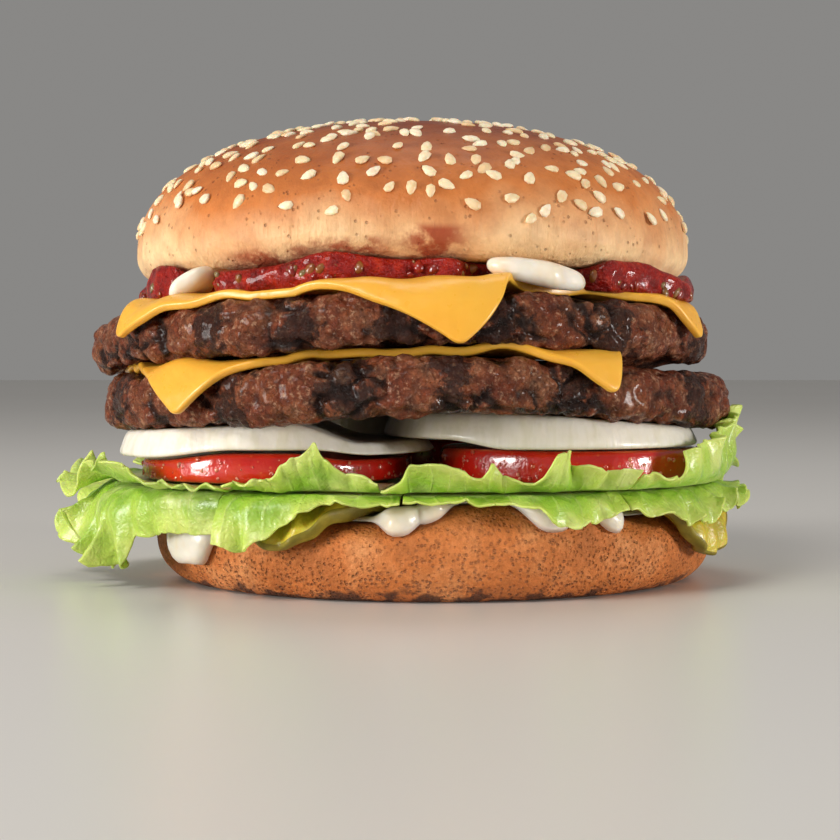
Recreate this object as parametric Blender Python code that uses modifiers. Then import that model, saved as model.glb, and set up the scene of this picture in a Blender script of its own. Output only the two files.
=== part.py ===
"""Double cheeseburger in a sesame bun: every layer of the stack as its own closed solid.

Sizes are in millimetres and angles in degrees. Each finished mesh is scaled to metres by add_part.
X runs to the right, Y to the back and Z up. The front faces -Y, so its bearing is -90 degrees.
The origin lies on the flat underside of the heel bun, below the middle of the patties.
"""

import math
import random
from collections import namedtuple

import bmesh
import bpy
import numpy as np
from mathutils import Euler, Matrix, Vector, noise

MM = 0.001
CLEARANCE = 0.3

# Buns
HEEL_CENTRE = (4.0, 0.0)
HEEL_RADIUS = 58.6
HEEL_FLAT_RADIUS = 51.0
HEEL_WAIST_HEIGHT = 9.5
HEEL_DISH_HEIGHT = 15.0
HEEL_DISH_RADIUS = 43.0
HEEL_CREST_HEIGHT = 18.4
HEEL_CREST_RADIUS = 51.5
HEEL_STEPS = 42
CROWN_CENTRE = (-0.5, 0.0)
CROWN_RADIUS = 58.3
CROWN_APEX = 95.3
CROWN_SIDE_BASE = 60.3
CROWN_MIDDLE_BASE = 64.7
CROWN_WAIST = 6.4
CROWN_FLAT_RADIUS = 50.5
CROWN_POWER = 2.15
CROWN_STEPS = 36

# Sesame seeds on the crown
SEED_LENGTH = 3.4
SEED_WIDTH = 2.3
SEED_HEIGHT = 1.5
SEED_COUNT = 30
SEED_LOWEST = 1.5
SEED_CROWDING = 1.36
SEED_GAP = 1.7
SEED_DRAW = 11

# Patties
LOWER_PATTY_CENTRE = (0.0, 0.0)
LOWER_PATTY_RADIUS = 65.0
UPPER_PATTY_CENTRE = (-2.4, 0.0)
UPPER_PATTY_RADIUS = 64.6
UPPER_PATTY_HEIGHT = 9.7
PATTY_ROOM = 2.8
PATTY_EDGE = 4.8
PATTY_SQUARENESS = 0.72
PATTY_STEPS = 40
CRAG_DEPTH = 1.5
CRAG_SIZE = 9.0

# Cheese slices, about 84 square, softened so that their corners have wandered
CHEESE_THICKNESS = 1.7
CHEESE_CELLS = 11
CHEESE_SLACK = 2.5
LOWER_CHEESE_CORNERS = ((-49.0, -55.5), (40.0, -58.5), (31.0, 27.0), (-66.0, 20.0))
UPPER_CHEESE_CORNERS = ((-61.0, -40.0), (9.5, -76.0), (60.0, -33.0), (-6.0, 30.0))
UPPER_CHEESE_PINCH = 0.15

# Vegetables
TOMATO_BASE = 22.0
TOMATO_EDGE = 2.2
ONION_EDGE = 2.6
SLICE_STEPS = 21
PICKLE_RADIUS = 14.5
PICKLE_THICKNESS = 2.2
PICKLE_MIDDLE = 18.05
CRINKLE_PITCH = 5.7
CRINKLE_HEIGHT = 0.55
LEAF_THICKNESS = 0.7
LEAF_INNER_RADIUS = 36.0

# Sauces
MAYO_THICKNESS = 0.5
MAYO_LIFT = 0.18
MAYO_OVERHANG = 0.09
MAYO_RING_CHANGE = 4.5
MAYO_RISE_END = 48.0
MAYO_REACH = 53.6
MAYO_CEILING = 19.7
KETCHUP_RADIUS = 57.5
KETCHUP_STEPS = 36

Arch = namedtuple("Arch", "level peak centre width fall")
LOWER_PATTY_BASE = Arch(level=34.2, peak=2.2, centre=14.0, width=36.0, fall=0.0006)
LOWER_PATTY_TOP = Arch(level=44.0, peak=2.4, centre=8.0, width=36.0, fall=0.0005)

# A pickle slides over the heel's shoulder, by more at one end of it than at the other
Pickle = namedtuple("Pickle", "bearing reach slide")
PICKLES = {
    "pickle_front": Pickle(-115.5, 46.0, -4.5),
    "pickle_right": Pickle(-28.0, 49.0, 0.5),
    "pickle_back": Pickle(72.0, 47.0, 1.0),
    "pickle_left": Pickle(188.0, 47.0, -1.0),
}

Slice = namedtuple("Slice", "centre radius")
TOMATOES = {
    "tomato_left": Slice((-28.2, -20.0), 27.5),
    "tomato_right": Slice((31.4, -20.0), 26.4),
    "tomato_back": Slice((1.6, 30.0), 25.8),
}
ONIONS = {
    "onion_left": Slice((-28.0, -18.5), 32.5),
    "onion_right": Slice((25.5, -18.5), 32.5),
    "onion_back": Slice((-1.0, 33.0), 22.5),
}

Lobe = namedtuple("Lobe", "bearing width reach bulge")
MAYO_LOBES = (
    Lobe(-144.0, 9.0, 14.0, 2.8),
    Lobe(-96.8, 4.4, 4.6, 3.0),
    Lobe(-90.8, 3.8, 3.2, 2.6),
    Lobe(-67.5, 6.2, 7.5, 2.4),
    Lobe(-55.0, 4.4, 7.0, 2.4),
    Lobe(28.0, 10.0, 5.5, 2.2),
    Lobe(112.0, 11.0, 7.0, 2.4),
    Lobe(148.0, 8.0, 3.5, 1.8),
)

# A leaf is spread between two bearings. Its stations give, along the way, the radius at which it
# comes free of the stack, its free length, the mean slope of that part and how far ruffles swing it.
Station = namedtuple("Station", "bearing hinge length slope swing")
Leaf = namedtuple("Leaf", "height ruffles phase columns rows stations")
LEAVES = {
    "lettuce_left": Leaf(
        20.35, 3.4, 0.15, 26, 4,
        (
            Station(-196.0, 58.0, 9.0, -8.0, 12.0),
            Station(-188.0, 59.0, 15.5, -30.0, 10.0),
            Station(-179.0, 59.5, 21.5, -52.0, 8.0),
            Station(-173.0, 59.5, 16.0, -62.0, 8.0),
            Station(-166.0, 59.5, 20.0, -84.0, 8.0),
            Station(-160.0, 59.5, 22.0, -92.0, 6.0),
            Station(-152.0, 60.0, 20.5, -95.0, 6.0),
            Station(-147.5, 61.0, 12.0, -100.0, 4.0),
            Station(-136.0, 60.0, 10.5, -105.0, 4.0),
            Station(-127.4, 58.5, 10.0, -95.0, 4.0),
        ),
    ),
    "lettuce_left_top": Leaf(
        21.35, 4.2, 0.6, 20, 3,
        (
            Station(-192.0, 58.5, 8.0, 5.0, 10.0),
            Station(-180.0, 59.0, 14.0, 0.0, 8.0),
            Station(-173.0, 59.5, 15.5, -8.0, 6.0),
            Station(-167.0, 60.0, 10.5, 24.0, 8.0),
            Station(-160.0, 60.5, 9.5, 40.0, 8.0),
            Station(-153.0, 61.0, 9.0, 50.0, 6.0),
            Station(-146.0, 62.0, 7.5, 48.0, 6.0),
            Station(-141.0, 63.0, 5.0, 15.0, 6.0),
            Station(-134.0, 62.0, 4.5, 12.0, 6.0),
            Station(-125.6, 60.0, 5.0, 15.0, 6.0),
        ),
    ),
    "lettuce_front_left": Leaf(
        20.35, 1.6, 0.4, 14, 3,
        (
            Station(-126.2, 58.0, 13.0, -75.0, 4.0),
            Station(-121.0, 58.0, 14.5, -82.0, 4.0),
            Station(-116.5, 57.5, 12.0, -75.0, 4.0),
            Station(-111.0, 57.0, 6.5, -50.0, 4.0),
            Station(-105.0, 57.0, 4.5, -28.0, 4.0),
            Station(-99.0, 57.0, 4.5, -25.0, 4.0),
            Station(-93.0, 57.0, 4.5, -16.0, 4.0),
        ),
    ),
    "lettuce_front_left_top": Leaf(
        21.35, 1.4, 0.1, 14, 3,
        (
            Station(-124.4, 60.0, 5.0, 12.0, 4.0),
            Station(-117.0, 58.5, 5.0, 30.0, 3.0),
            Station(-113.5, 57.0, 7.0, 58.0, 3.0),
            Station(-110.3, 56.0, 9.0, 68.0, 2.0),
            Station(-107.5, 55.5, 12.2, 74.0, 2.0),
            Station(-105.5, 55.5, 9.0, 70.0, 2.0),
            Station(-101.8, 56.0, 6.0, 58.0, 3.0),
            Station(-96.9, 56.5, 4.5, 30.0, 4.0),
        ),
    ),
    "lettuce_front_right": Leaf(
        20.35, 3.4, 0.35, 16, 3,
        (
            Station(-92.0, 57.0, 4.5, -12.0, 4.0),
            Station(-82.0, 57.0, 4.0, -14.0, 4.0),
            Station(-74.0, 57.0, 4.5, -22.0, 5.0),
            Station(-69.5, 59.5, 5.0, -40.0, 4.0),
            Station(-65.0, 60.5, 9.0, -60.0, 4.0),
            Station(-60.0, 60.0, 8.0, -56.0, 5.0),
            Station(-55.0, 58.5, 8.0, -50.0, 4.0),
            Station(-51.2, 59.0, 6.0, -40.0, 4.0),
        ),
    ),
    "lettuce_front_right_top": Leaf(
        21.35, 4.4, 0.8, 24, 3,
        (
            Station(-95.8, 57.0, 4.0, 15.0, 2.0),
            Station(-92.6, 57.0, 5.0, 40.0, 2.0),
            Station(-90.3, 56.5, 8.5, 60.0, 2.0),
            Station(-85.8, 56.5, 9.5, 60.0, 2.0),
            Station(-81.5, 57.0, 8.0, 48.0, 3.0),
            Station(-79.5, 57.0, 6.0, 42.0, 4.0),
            Station(-77.0, 57.0, 8.5, 52.0, 4.0),
            Station(-73.6, 57.5, 5.0, 42.0, 4.0),
            Station(-69.0, 58.0, 4.5, 36.0, 4.0),
            Station(-66.8, 58.5, 11.0, 68.0, 3.0),
            Station(-63.3, 59.0, 11.0, 68.0, 3.0),
            Station(-61.5, 59.5, 7.5, 58.0, 3.0),
            Station(-59.5, 60.0, 9.0, 60.0, 3.0),
            Station(-57.0, 60.5, 6.0, 48.0, 3.0),
            Station(-54.5, 61.5, 8.0, 52.0, 3.0),
            Station(-51.6, 62.5, 7.5, 50.0, 3.0),
        ),
    ),
    "lettuce_right": Leaf(
        20.35, 4.3, 0.1, 20, 3,
        (
            Station(-50.0, 59.0, 6.5, -40.0, 4.0),
            Station(-44.0, 60.0, 7.5, -45.0, 5.0),
            Station(-37.0, 60.0, 9.5, -55.0, 4.0),
            Station(-31.5, 60.0, 10.5, -56.0, 4.0),
            Station(-24.0, 60.0, 9.0, -38.0, 6.0),
            Station(-10.0, 60.0, 10.0, -26.0, 8.0),
            Station(0.0, 60.0, 10.5, -22.0, 8.0),
            Station(10.0, 59.5, 9.5, -15.0, 8.0),
            Station(19.5, 59.0, 9.0, -10.0, 8.0),
        ),
    ),
    "lettuce_right_top": Leaf(
        21.35, 3.9, 0.5, 22, 3,
        (
            Station(-50.4, 62.8, 6.0, 40.0, 3.0),
            Station(-42.0, 63.5, 5.0, 34.0, 4.0),
            Station(-38.5, 64.3, 9.5, 90.0, 2.0),
            Station(-28.0, 64.0, 12.0, 98.0, 3.0),
            Station(-19.0, 62.0, 15.5, 95.0, 3.0),
            Station(-9.0, 58.2, 20.0, 90.0, 3.0),
            Station(-2.0, 58.0, 16.0, 75.0, 6.0),
            Station(6.0, 58.0, 12.5, 30.0, 10.0),
            Station(19.0, 58.0, 9.0, 15.0, 10.0),
        ),
    ),
    "lettuce_back": Leaf(
        20.35, 8.4, 0.3, 22, 2,
        (
            Station(21.0, 59.0, 9.0, -10.0, 12.0),
            Station(55.0, 60.0, 13.0, -46.0, 12.0),
            Station(90.0, 60.0, 10.0, -24.0, 14.0),
            Station(122.0, 60.0, 13.0, -44.0, 12.0),
            Station(161.0, 59.0, 8.5, -10.0, 12.0),
        ),
    ),
    "lettuce_back_top": Leaf(
        21.35, 9.7, 0.7, 22, 2,
        (
            Station(20.5, 58.5, 8.5, 18.0, 12.0),
            Station(66.0, 60.0, 10.0, 36.0, 12.0),
            Station(92.0, 60.0, 8.5, 22.0, 14.0),
            Station(125.0, 60.0, 11.0, 38.0, 12.0),
            Station(161.0, 59.0, 8.0, 14.0, 12.0),
        ),
    ),
}

COLOURS = {
    "crown": ((0.52, 0.22, 0.07), 0.45),
    "heel": ((0.55, 0.25, 0.09), 0.7),
    "beef": ((0.12, 0.045, 0.025), 0.5),
    "cheese": ((0.90, 0.47, 0.05), 0.3),
    "tomato": ((0.62, 0.05, 0.02), 0.2),
    "onion": ((0.85, 0.80, 0.70), 0.3),
    "lettuce": ((0.22, 0.45, 0.05), 0.4),
    "pickle": ((0.27, 0.27, 0.03), 0.3),
    "mayonnaise": ((0.88, 0.83, 0.70), 0.25),
    "ketchup": ((0.38, 0.02, 0.01), 0.15),
}


# Small helpers


def smooth(value):
    """0 below 0, 1 above 1, and an S-shaped rise between."""
    t = min(1.0, max(0.0, value))
    return t * t * (3 - 2 * t)


def arch_height(arch, x):
    """Height of a layer that is bent over what lies under it."""
    hump = arch.peak * math.exp(-(((x - arch.centre) / arch.width) ** 2))
    return arch.level + hump - arch.fall * x * x


def on_bearing(bearing, radius, centre=(0.0, 0.0)):
    angle = math.radians(bearing)
    return centre[0] + radius * math.cos(angle), centre[1] + radius * math.sin(angle)


def turn_between(bearing, other):
    """Unsigned angle between two bearings."""
    return abs((bearing - other + 180.0) % 360.0 - 180.0)


def material(name):
    colour, roughness = COLOURS[name]
    made = bpy.data.materials.get(name)
    if made is None:
        made = bpy.data.materials.new(name)
        made.use_nodes = True
        shader = made.node_tree.nodes["Principled BSDF"]
        shader.inputs["Base Color"].default_value = (*colour, 1.0)
        shader.inputs["Roughness"].default_value = roughness
        shader.inputs["Metallic"].default_value = 0.0
    return made


def add_part(name, mesh, finish, sharp_angle=50.0):
    """The mesh, scaled from millimetres to metres, as a named part of the burger."""
    mesh.transform(Matrix.Scale(MM, 4))
    mesh.name = name
    mesh.materials.clear()
    mesh.materials.append(material(finish))
    part = bpy.data.objects.new(name, mesh)
    bpy.data.collections["Burger"].objects.link(part)
    mesh.shade_smooth()
    mesh.set_sharp_from_angle(angle=math.radians(sharp_angle))
    return part


def evaluated_mesh(mesh, add_modifier):
    """A copy of the mesh with one modifier applied to it."""
    holder = bpy.data.objects.new("holder", mesh)
    bpy.context.scene.collection.objects.link(holder)
    add_modifier(holder)
    graph = bpy.context.evaluated_depsgraph_get()
    result = bpy.data.meshes.new_from_object(holder.evaluated_get(graph))
    bpy.data.objects.remove(holder)
    return result


def turned(profile, steps):
    """A closed body turned about Z from (radius, height) points that run from top to bottom."""
    mesh = bpy.data.meshes.new("profile")
    points = [(radius, 0.0, height) for radius, height in profile]
    mesh.from_pydata(points, [(i, i + 1) for i in range(len(points) - 1)], [])

    def add_screw(holder):
        screw = holder.modifiers.new("Turn", "SCREW")
        screw.axis = "Z"
        screw.steps = steps
        screw.render_steps = steps
        screw.use_merge_vertices = True
        screw.merge_threshold = 0.0001

    return evaluated_mesh(mesh, add_screw)


def reshape(mesh, move):
    """Moves each point of the mesh to where the function says."""
    for vertex in mesh.vertices:
        vertex.co = move(*vertex.co)
    return mesh


def solidified(mesh, thickness):
    """A sheet given its thickness, with both faces split into the same triangles."""

    def add_solidify(holder):
        solidify = holder.modifiers.new("Thickness", "SOLIDIFY")
        solidify.thickness = thickness
        solidify.offset = 0.0

    return evaluated_mesh(mesh, add_solidify)


def grid_sheet(columns, rows, place):
    """A triangulated sheet whose point at u, v from 0 to 1 lies where the function says."""
    sheet = bmesh.new()
    bmesh.ops.create_grid(sheet, x_segments=columns, y_segments=rows, size=0.5)
    for vertex in sheet.verts:
        vertex.co = place(vertex.co.x + 0.5, vertex.co.y + 0.5)
    bmesh.ops.triangulate(sheet, faces=sheet.faces, quad_method="FIXED")
    mesh = bpy.data.meshes.new("sheet")
    sheet.to_mesh(mesh)
    sheet.free()
    return mesh


# Round layers: patties, slices and sauces


def slab_profile(radius, edge, flat_rings, edge_points, squareness):
    """A disc of half thickness 1 with a rounded edge, from the top centre to the bottom centre."""
    flat = radius - edge
    top = [(flat * i / flat_rings, 1.0) for i in range(flat_rings)]
    rim = [
        (flat + edge * abs(math.cos(a)) ** squareness, math.copysign(abs(math.sin(a)) ** squareness, a))
        for a in np.linspace(math.pi / 2, -math.pi / 2, edge_points)
    ]
    bottom = [(x, -z) for x, z in reversed(top)]
    return top + rim + bottom


def slab(
    centre, radius, edge, bottom, top, steps,
    flat_rings=2, edge_points=5, squareness=1.0, outline=None,
):
    """A round layer between two heights, each a function of x and y."""

    def lay(x, y, z):
        bearing = math.degrees(math.atan2(y, x))
        spread = outline(bearing) if outline else 1.0
        x = centre[0] + x * spread
        y = centre[1] + y * spread
        low = bottom(x, y)
        return x, y, low + (top(x, y) - low) * (z + 1) / 2

    profile = slab_profile(radius, edge, flat_rings, edge_points, squareness)
    return reshape(turned(profile, steps), lay)


def lower_patty_base(x, y):
    return arch_height(LOWER_PATTY_BASE, x)


def lower_patty_top(x, y):
    return arch_height(LOWER_PATTY_TOP, x)


def upper_patty_base(x, y):
    """The upper patty rests on the lower cheese, and sags to the lower patty left of it."""
    sag = 0.5 * smooth((-x - 60.5) / 4.0)
    return lower_patty_top(x, y) + PATTY_ROOM - sag


def upper_patty_top(x, y):
    return upper_patty_base(x, y) + UPPER_PATTY_HEIGHT


def crown_base(x, y):
    drop = CROWN_MIDDLE_BASE - CROWN_SIDE_BASE
    return CROWN_MIDDLE_BASE - drop * (x / CROWN_RADIUS) ** 2


def ragged(bearing, turn):
    """Share of the patty's radius at a bearing: hand-pressed meat is never quite round."""
    a = math.radians(bearing) + turn
    return 1.0 + 0.010 * math.sin(3 * a) + 0.008 * math.sin(5 * a + 1.3) + 0.006 * math.sin(11 * a)


def patty(name, centre, radius, bottom, top, turn):
    """A patty with crags cut into its side, which leave its outer form as it is."""
    mesh = slab(
        centre, radius, PATTY_EDGE, bottom, top, PATTY_STEPS,
        flat_rings=3, edge_points=7, squareness=PATTY_SQUARENESS,
        outline=lambda bearing: ragged(bearing, turn),
    )

    def carve(x, y, z):
        out = Vector((x - centre[0], y - centre[1], 0.0))
        at_side = smooth((out.length - radius + 8.0) / 6.0)
        lump = 0.5 + 0.5 * noise.noise(Vector((x, y, z)) / CRAG_SIZE + Vector((turn, 0, 0)))
        depth = CRAG_DEPTH * at_side * lump
        return Vector((x, y, z)) - out.normalized() * depth

    return add_part(name, reshape(mesh, carve), "beef", 30.0)


def drape(centre, radius, outline, top, x, y):
    """Where a point of a flat slice comes to lie on a patty and over its rounded edge."""
    lift = CLEARANCE + CHEESE_THICKNESS / 2
    dx, dy = x - centre[0], y - centre[1]
    reach = math.hypot(dx, dy)
    edge_start = radius * outline(math.degrees(math.atan2(dy, dx))) - PATTY_EDGE + CHEESE_SLACK
    past = max(0.0, reach - edge_start)
    bend = PATTY_EDGE + lift + CHEESE_SLACK
    steepest = math.radians(80.0)
    angle = min(past / bend, steepest)
    hanging = max(0.0, past - bend * steepest)
    out = min(reach, edge_start) + bend * math.sin(angle) + hanging * math.cos(steepest)
    down = bend * (1 - math.cos(angle)) + hanging * math.sin(steepest)
    share = out / max(reach, 1e-6)
    x, y = centre[0] + dx * share, centre[1] + dy * share
    return x, y, top(x, y) + lift - down


def cheese_slice(name, corners, centre, radius, turn, top, pinch=0.0):
    """A square slice laid over a patty, its corners hanging down where they pass the side.

    The pinch is how far its right side has drawn in half way along, as a share of its width.
    """
    corners = [Vector(corner) for corner in corners]

    def place(u, v):
        u, v = (0.35 * share + 0.65 * (0.5 - 0.5 * math.cos(math.pi * share)) for share in (u, v))
        u *= 1 - pinch * math.sin(math.pi * v) ** 2
        near = corners[0].lerp(corners[1], u)
        far = corners[3].lerp(corners[2], u)
        x, y = near.lerp(far, v)
        return drape(centre, radius, lambda bearing: ragged(bearing, turn), top, x, y)

    sheet = grid_sheet(CHEESE_CELLS, CHEESE_CELLS, place)
    return add_part(name, solidified(sheet, CHEESE_THICKNESS), "cheese", 40.0)


def tomato_top(name, x):
    """Upper side of a tomato slice: the left one is pressed down where two onions cross."""
    if name == "tomato_left":
        return 27.9 - 1.5 * smooth((x + 24.0) / 12.0) - 2.0 * smooth((-34.0 - x) / 20.0)
    return 28.3


def tomato_slices():
    for name, cut in TOMATOES.items():
        mesh = slab(
            cut.centre, cut.radius, TOMATO_EDGE,
            lambda x, y: TOMATO_BASE, lambda x, y, name=name: tomato_top(name, x),
            SLICE_STEPS, flat_rings=2 if name == "tomato_left" else 1, edge_points=4,
        )
        add_part(name, mesh, "tomato")


def onion_base(name, x):
    """Underside of an onion slice: it lies on the tomatoes, and the right one on the left one."""
    if name == "onion_right":
        return 28.7 + 1.7 * smooth((18.0 - x) / 12.0)
    if name == "onion_left":
        return 28.6 - 1.2 * smooth((x + 20.0) / 12.0) - 2.0 * smooth((-34.0 - x) / 20.0)
    return 28.7


def onion_top(name, x, y):
    under_patty = lower_patty_base(x, y) - 2 * CLEARANCE
    if name == "onion_left":
        return under_patty - (under_patty - 29.8) * smooth((x + 26.0) / 16.0)
    return under_patty


def onion_slices():
    for name, cut in ONIONS.items():
        mesh = slab(
            cut.centre, cut.radius, ONION_EDGE,
            lambda x, y, name=name: onion_base(name, x),
            lambda x, y, name=name: onion_top(name, x, y),
            SLICE_STEPS, flat_rings=1 if name == "onion_back" else 3, edge_points=4,
        )
        add_part(name, mesh, "onion")


# Buns


def crest_share(bearing):
    """How much of the heel's raised rim is left at a bearing: the pickles press it flat."""
    share = 1.0
    for pickle in PICKLES.values():
        share *= smooth((turn_between(bearing, pickle.bearing) - 17.5) / 14.0)
    return share


def crest_height(bearing):
    """Height of the heel's rim, which runs straight between the bearings where it has points."""
    step = 360.0 / HEEL_STEPS
    before = math.floor(bearing / step) * step
    near, far = crest_share(before), crest_share(before + step)
    share = near + (far - near) * (bearing - before) / step
    return HEEL_DISH_HEIGHT + (HEEL_CREST_HEIGHT - HEEL_DISH_HEIGHT) * share


def heel_section(bearing):
    """(radius, height) points of the heel's outside, from the dish's middle to the underside."""
    crest = crest_height(bearing)
    rise_radii = np.linspace(HEEL_DISH_RADIUS, HEEL_CREST_RADIUS, 4)
    rise = [
        (r, HEEL_DISH_HEIGHT + (crest - HEEL_DISH_HEIGHT) * smooth(i / 3))
        for i, r in enumerate(rise_radii)
    ]
    span = HEEL_RADIUS - HEEL_CREST_RADIUS
    shoulder = [
        (
            HEEL_CREST_RADIUS + span * math.sin(a),
            HEEL_WAIST_HEIGHT + (crest - HEEL_WAIST_HEIGHT) * math.cos(a),
        )
        for a in np.linspace(0, math.pi / 2, 6)[1:]
    ]
    foot = [
        (
            HEEL_FLAT_RADIUS + (HEEL_RADIUS - HEEL_FLAT_RADIUS) * math.cos(a),
            HEEL_WAIST_HEIGHT * (1 - math.sin(a)),
        )
        for a in np.linspace(0, math.pi / 2, 5)[1:]
    ]
    return [(0.0, HEEL_DISH_HEIGHT), *rise, *shoulder, *foot, (0.0, 0.0)]


def heel_bun():
    """The turned heel, with its raised rim pressed down wherever a pickle lies across it."""
    full = heel_section(bearing=-75.0)

    def press(x, y, z):
        bearing = math.degrees(math.atan2(y, x))
        radius = math.hypot(x, y)
        index = min(range(len(full)), key=lambda i: math.hypot(full[i][0] - radius, full[i][1] - z))
        r, height = heel_section(bearing)[index]
        share = r / radius if radius > 1e-6 else 0.0
        return HEEL_CENTRE[0] + x * share, HEEL_CENTRE[1] + y * share, height

    return add_part("heel_bun", reshape(turned(full, HEEL_STEPS), press), "heel")


def crown_profile():
    """(radius, height) points from the apex over the dome to the middle of the cut face."""
    height = CROWN_APEX - CROWN_SIDE_BASE
    power = 2 / CROWN_POWER
    dome = [
        (
            CROWN_RADIUS * math.sin(a) ** power,
            CROWN_WAIST + (height - CROWN_WAIST) * math.cos(a) ** power,
        )
        for a in np.linspace(0, math.pi / 2, 8)
    ]
    dome[-1] = (CROWN_RADIUS, CROWN_WAIST)
    lip = [
        (
            CROWN_FLAT_RADIUS + (CROWN_RADIUS - CROWN_FLAT_RADIUS) * math.cos(a),
            CROWN_WAIST * (1 - math.sin(a)),
        )
        for a in np.linspace(0, math.pi / 2, 5)[1:]
    ]
    return [*dome, *lip, (CROWN_FLAT_RADIUS / 2, 0.0), (0.0, 0.0)]


def crown_point(x, y, z):
    """Seats a point of the turned dome on the arched layers below it."""
    x, y = x + CROWN_CENTRE[0], y + CROWN_CENTRE[1]
    base = crown_base(x, y)
    share = z / (CROWN_APEX - CROWN_SIDE_BASE)
    return x, y, base + share * (CROWN_APEX - base)


def dome_height(radius):
    """Height of the turned dome over its flat base at a radius."""
    share = min(1.0, radius / CROWN_RADIUS)
    rise = CROWN_APEX - CROWN_SIDE_BASE - CROWN_WAIST
    return CROWN_WAIST + rise * (1 - share**CROWN_POWER) ** (1 / CROWN_POWER)


def seed_places():
    """Points for the seeds, each the best spread of a few draws, and closer towards the top."""
    draw = random.Random(SEED_DRAW)
    places = []
    while len(places) < SEED_COUNT:
        tries = []
        for _ in range(8):
            slant = SEED_LOWEST * math.sqrt(draw.random())
            radius = CROWN_RADIUS * math.sin(slant) ** (2 / CROWN_POWER)
            bearing = draw.uniform(-180.0, 180.0)
            if draw.random() < math.exp(-((slant / SEED_CROWDING) ** 7)):
                tries.append(on_bearing(bearing, radius))
        if not tries:
            continue
        spread = [min((math.dist(t, p) for p in places), default=9.0) for t in tries]
        best = spread.index(max(spread))
        if spread[best] > SEED_GAP:
            places.append(tries[best])
    return places


def sesame_seed(place, turn):
    """One seed lying on the dome, half sunk so that it fuses with the crust."""
    x, y = place
    radius = math.hypot(x, y)
    step = 0.4
    slope = (dome_height(radius + step) - dome_height(radius - step)) / (2 * step)
    out = Vector((x, y, 0.0)).normalized()
    normal = Vector((-out.x * slope, -out.y * slope, 1.0)).normalized()
    seed = bmesh.new()
    bmesh.ops.create_uvsphere(seed, u_segments=6, v_segments=4, radius=0.5)
    shape = Matrix.Diagonal((SEED_LENGTH, SEED_WIDTH, SEED_HEIGHT, 1.0))
    lie = normal.to_track_quat("Z", "Y").to_matrix().to_4x4()
    spin = Matrix.Rotation(turn, 4, "Z")
    seat = Vector(crown_point(x, y, dome_height(radius)))
    seed.transform(Matrix.Translation(seat) @ lie @ spin @ shape)
    mesh = bpy.data.meshes.new("seed")
    seed.to_mesh(mesh)
    seed.free()
    mesh.transform(Matrix.Scale(MM, 4))
    return bpy.data.objects.new("seed", mesh)


def crown_bun():
    """The dome of the bun with its larger seeds fused on."""
    crown = add_part("crown_bun", reshape(turned(crown_profile(), CROWN_STEPS), crown_point), "crown")
    seeds = bpy.data.collections.new("Seeds")
    bpy.context.scene.collection.children.link(seeds)
    draw = random.Random(SEED_DRAW + 1)
    for place in seed_places():
        seeds.objects.link(sesame_seed(place, draw.uniform(0.0, math.pi)))
    union = crown.modifiers.new("Seeds", "BOOLEAN")
    union.operation = "UNION"
    union.operand_type = "COLLECTION"
    union.collection = seeds
    union.solver = "MANIFOLD"
    graph = bpy.context.evaluated_depsgraph_get()
    crown.data = bpy.data.meshes.new_from_object(crown.evaluated_get(graph))
    crown.modifiers.clear()
    for seed in list(seeds.objects):
        bpy.data.objects.remove(seed)
    bpy.data.collections.remove(seeds)


# Pickles


def section_walk(bearing, start, distances, lift):
    """Points at given distances along the heel's section, raised by lift along its normal."""
    section = np.array(heel_section(bearing)[:-1])
    steps = np.diff(section, axis=0)
    lengths = np.hypot(*steps.T)
    along = np.concatenate([[0.0], np.cumsum(lengths)])
    walked = np.clip(np.asarray(distances) + start, 0.0, along[-1] - 0.01)
    point = np.stack([np.interp(walked, along, section[:, i]) for i in (0, 1)], axis=-1)
    middles = (along[:-1] + along[1:]) / 2
    slope = np.stack([np.interp(walked, middles, steps[:, i] / lengths) for i in (0, 1)], axis=-1)
    slope /= np.linalg.norm(slope, axis=-1, keepdims=True)
    normal = np.stack([-slope[..., 1], slope[..., 0]], axis=-1)
    return point + normal * np.asarray(lift)[..., None]


def crinkle(across):
    """Height of the crinkle-cut wave at a distance across the ridges."""
    return CRINKLE_HEIGHT * math.cos(2 * math.pi * across / CRINKLE_PITCH)


def pickle_slice(name, pickle):
    """A crinkle-cut slice that lies on the heel and bends down over its shoulder."""
    cut = bmesh.new()
    bmesh.ops.create_cone(
        cut, cap_ends=True, segments=18, radius1=PICKLE_RADIUS, radius2=PICKLE_RADIUS,
        depth=PICKLE_THICKNESS,
    )
    ridges = np.arange(-PICKLE_RADIUS, PICKLE_RADIUS, CRINKLE_PITCH / 2)
    for across in ridges - ridges.mean():
        geometry = cut.verts[:] + cut.edges[:] + cut.faces[:]
        bmesh.ops.bisect_plane(cut, geom=geometry, plane_co=(0, across, 0), plane_no=(0, 1, 0))
    for outward in (2.5, 6.5, 10.5):
        geometry = cut.verts[:] + cut.edges[:] + cut.faces[:]
        bmesh.ops.bisect_plane(cut, geom=geometry, plane_co=(outward, 0, 0), plane_no=(1, 0, 0))
    bmesh.ops.triangulate(cut, faces=cut.faces)
    bed = PICKLE_MIDDLE - HEEL_DISH_HEIGHT
    turn = Matrix.Rotation(math.radians(pickle.bearing), 3, "Z")
    phase = CRINKLE_PITCH / 4 * (ridges.size % 2)
    for vertex in cut.verts:
        outward, across, height = vertex.co
        lift = bed + height + crinkle(across + phase)
        start = pickle.reach + pickle.slide * across / PICKLE_RADIUS
        radius, z = section_walk(pickle.bearing, start, outward, lift)
        vertex.co = turn @ Vector((radius, across, z))
        vertex.co.x += HEEL_CENTRE[0]
    mesh = bpy.data.meshes.new(name)
    cut.to_mesh(mesh)
    cut.free()
    return add_part(name, mesh, "pickle", 35.0)


# Sauces


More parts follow.
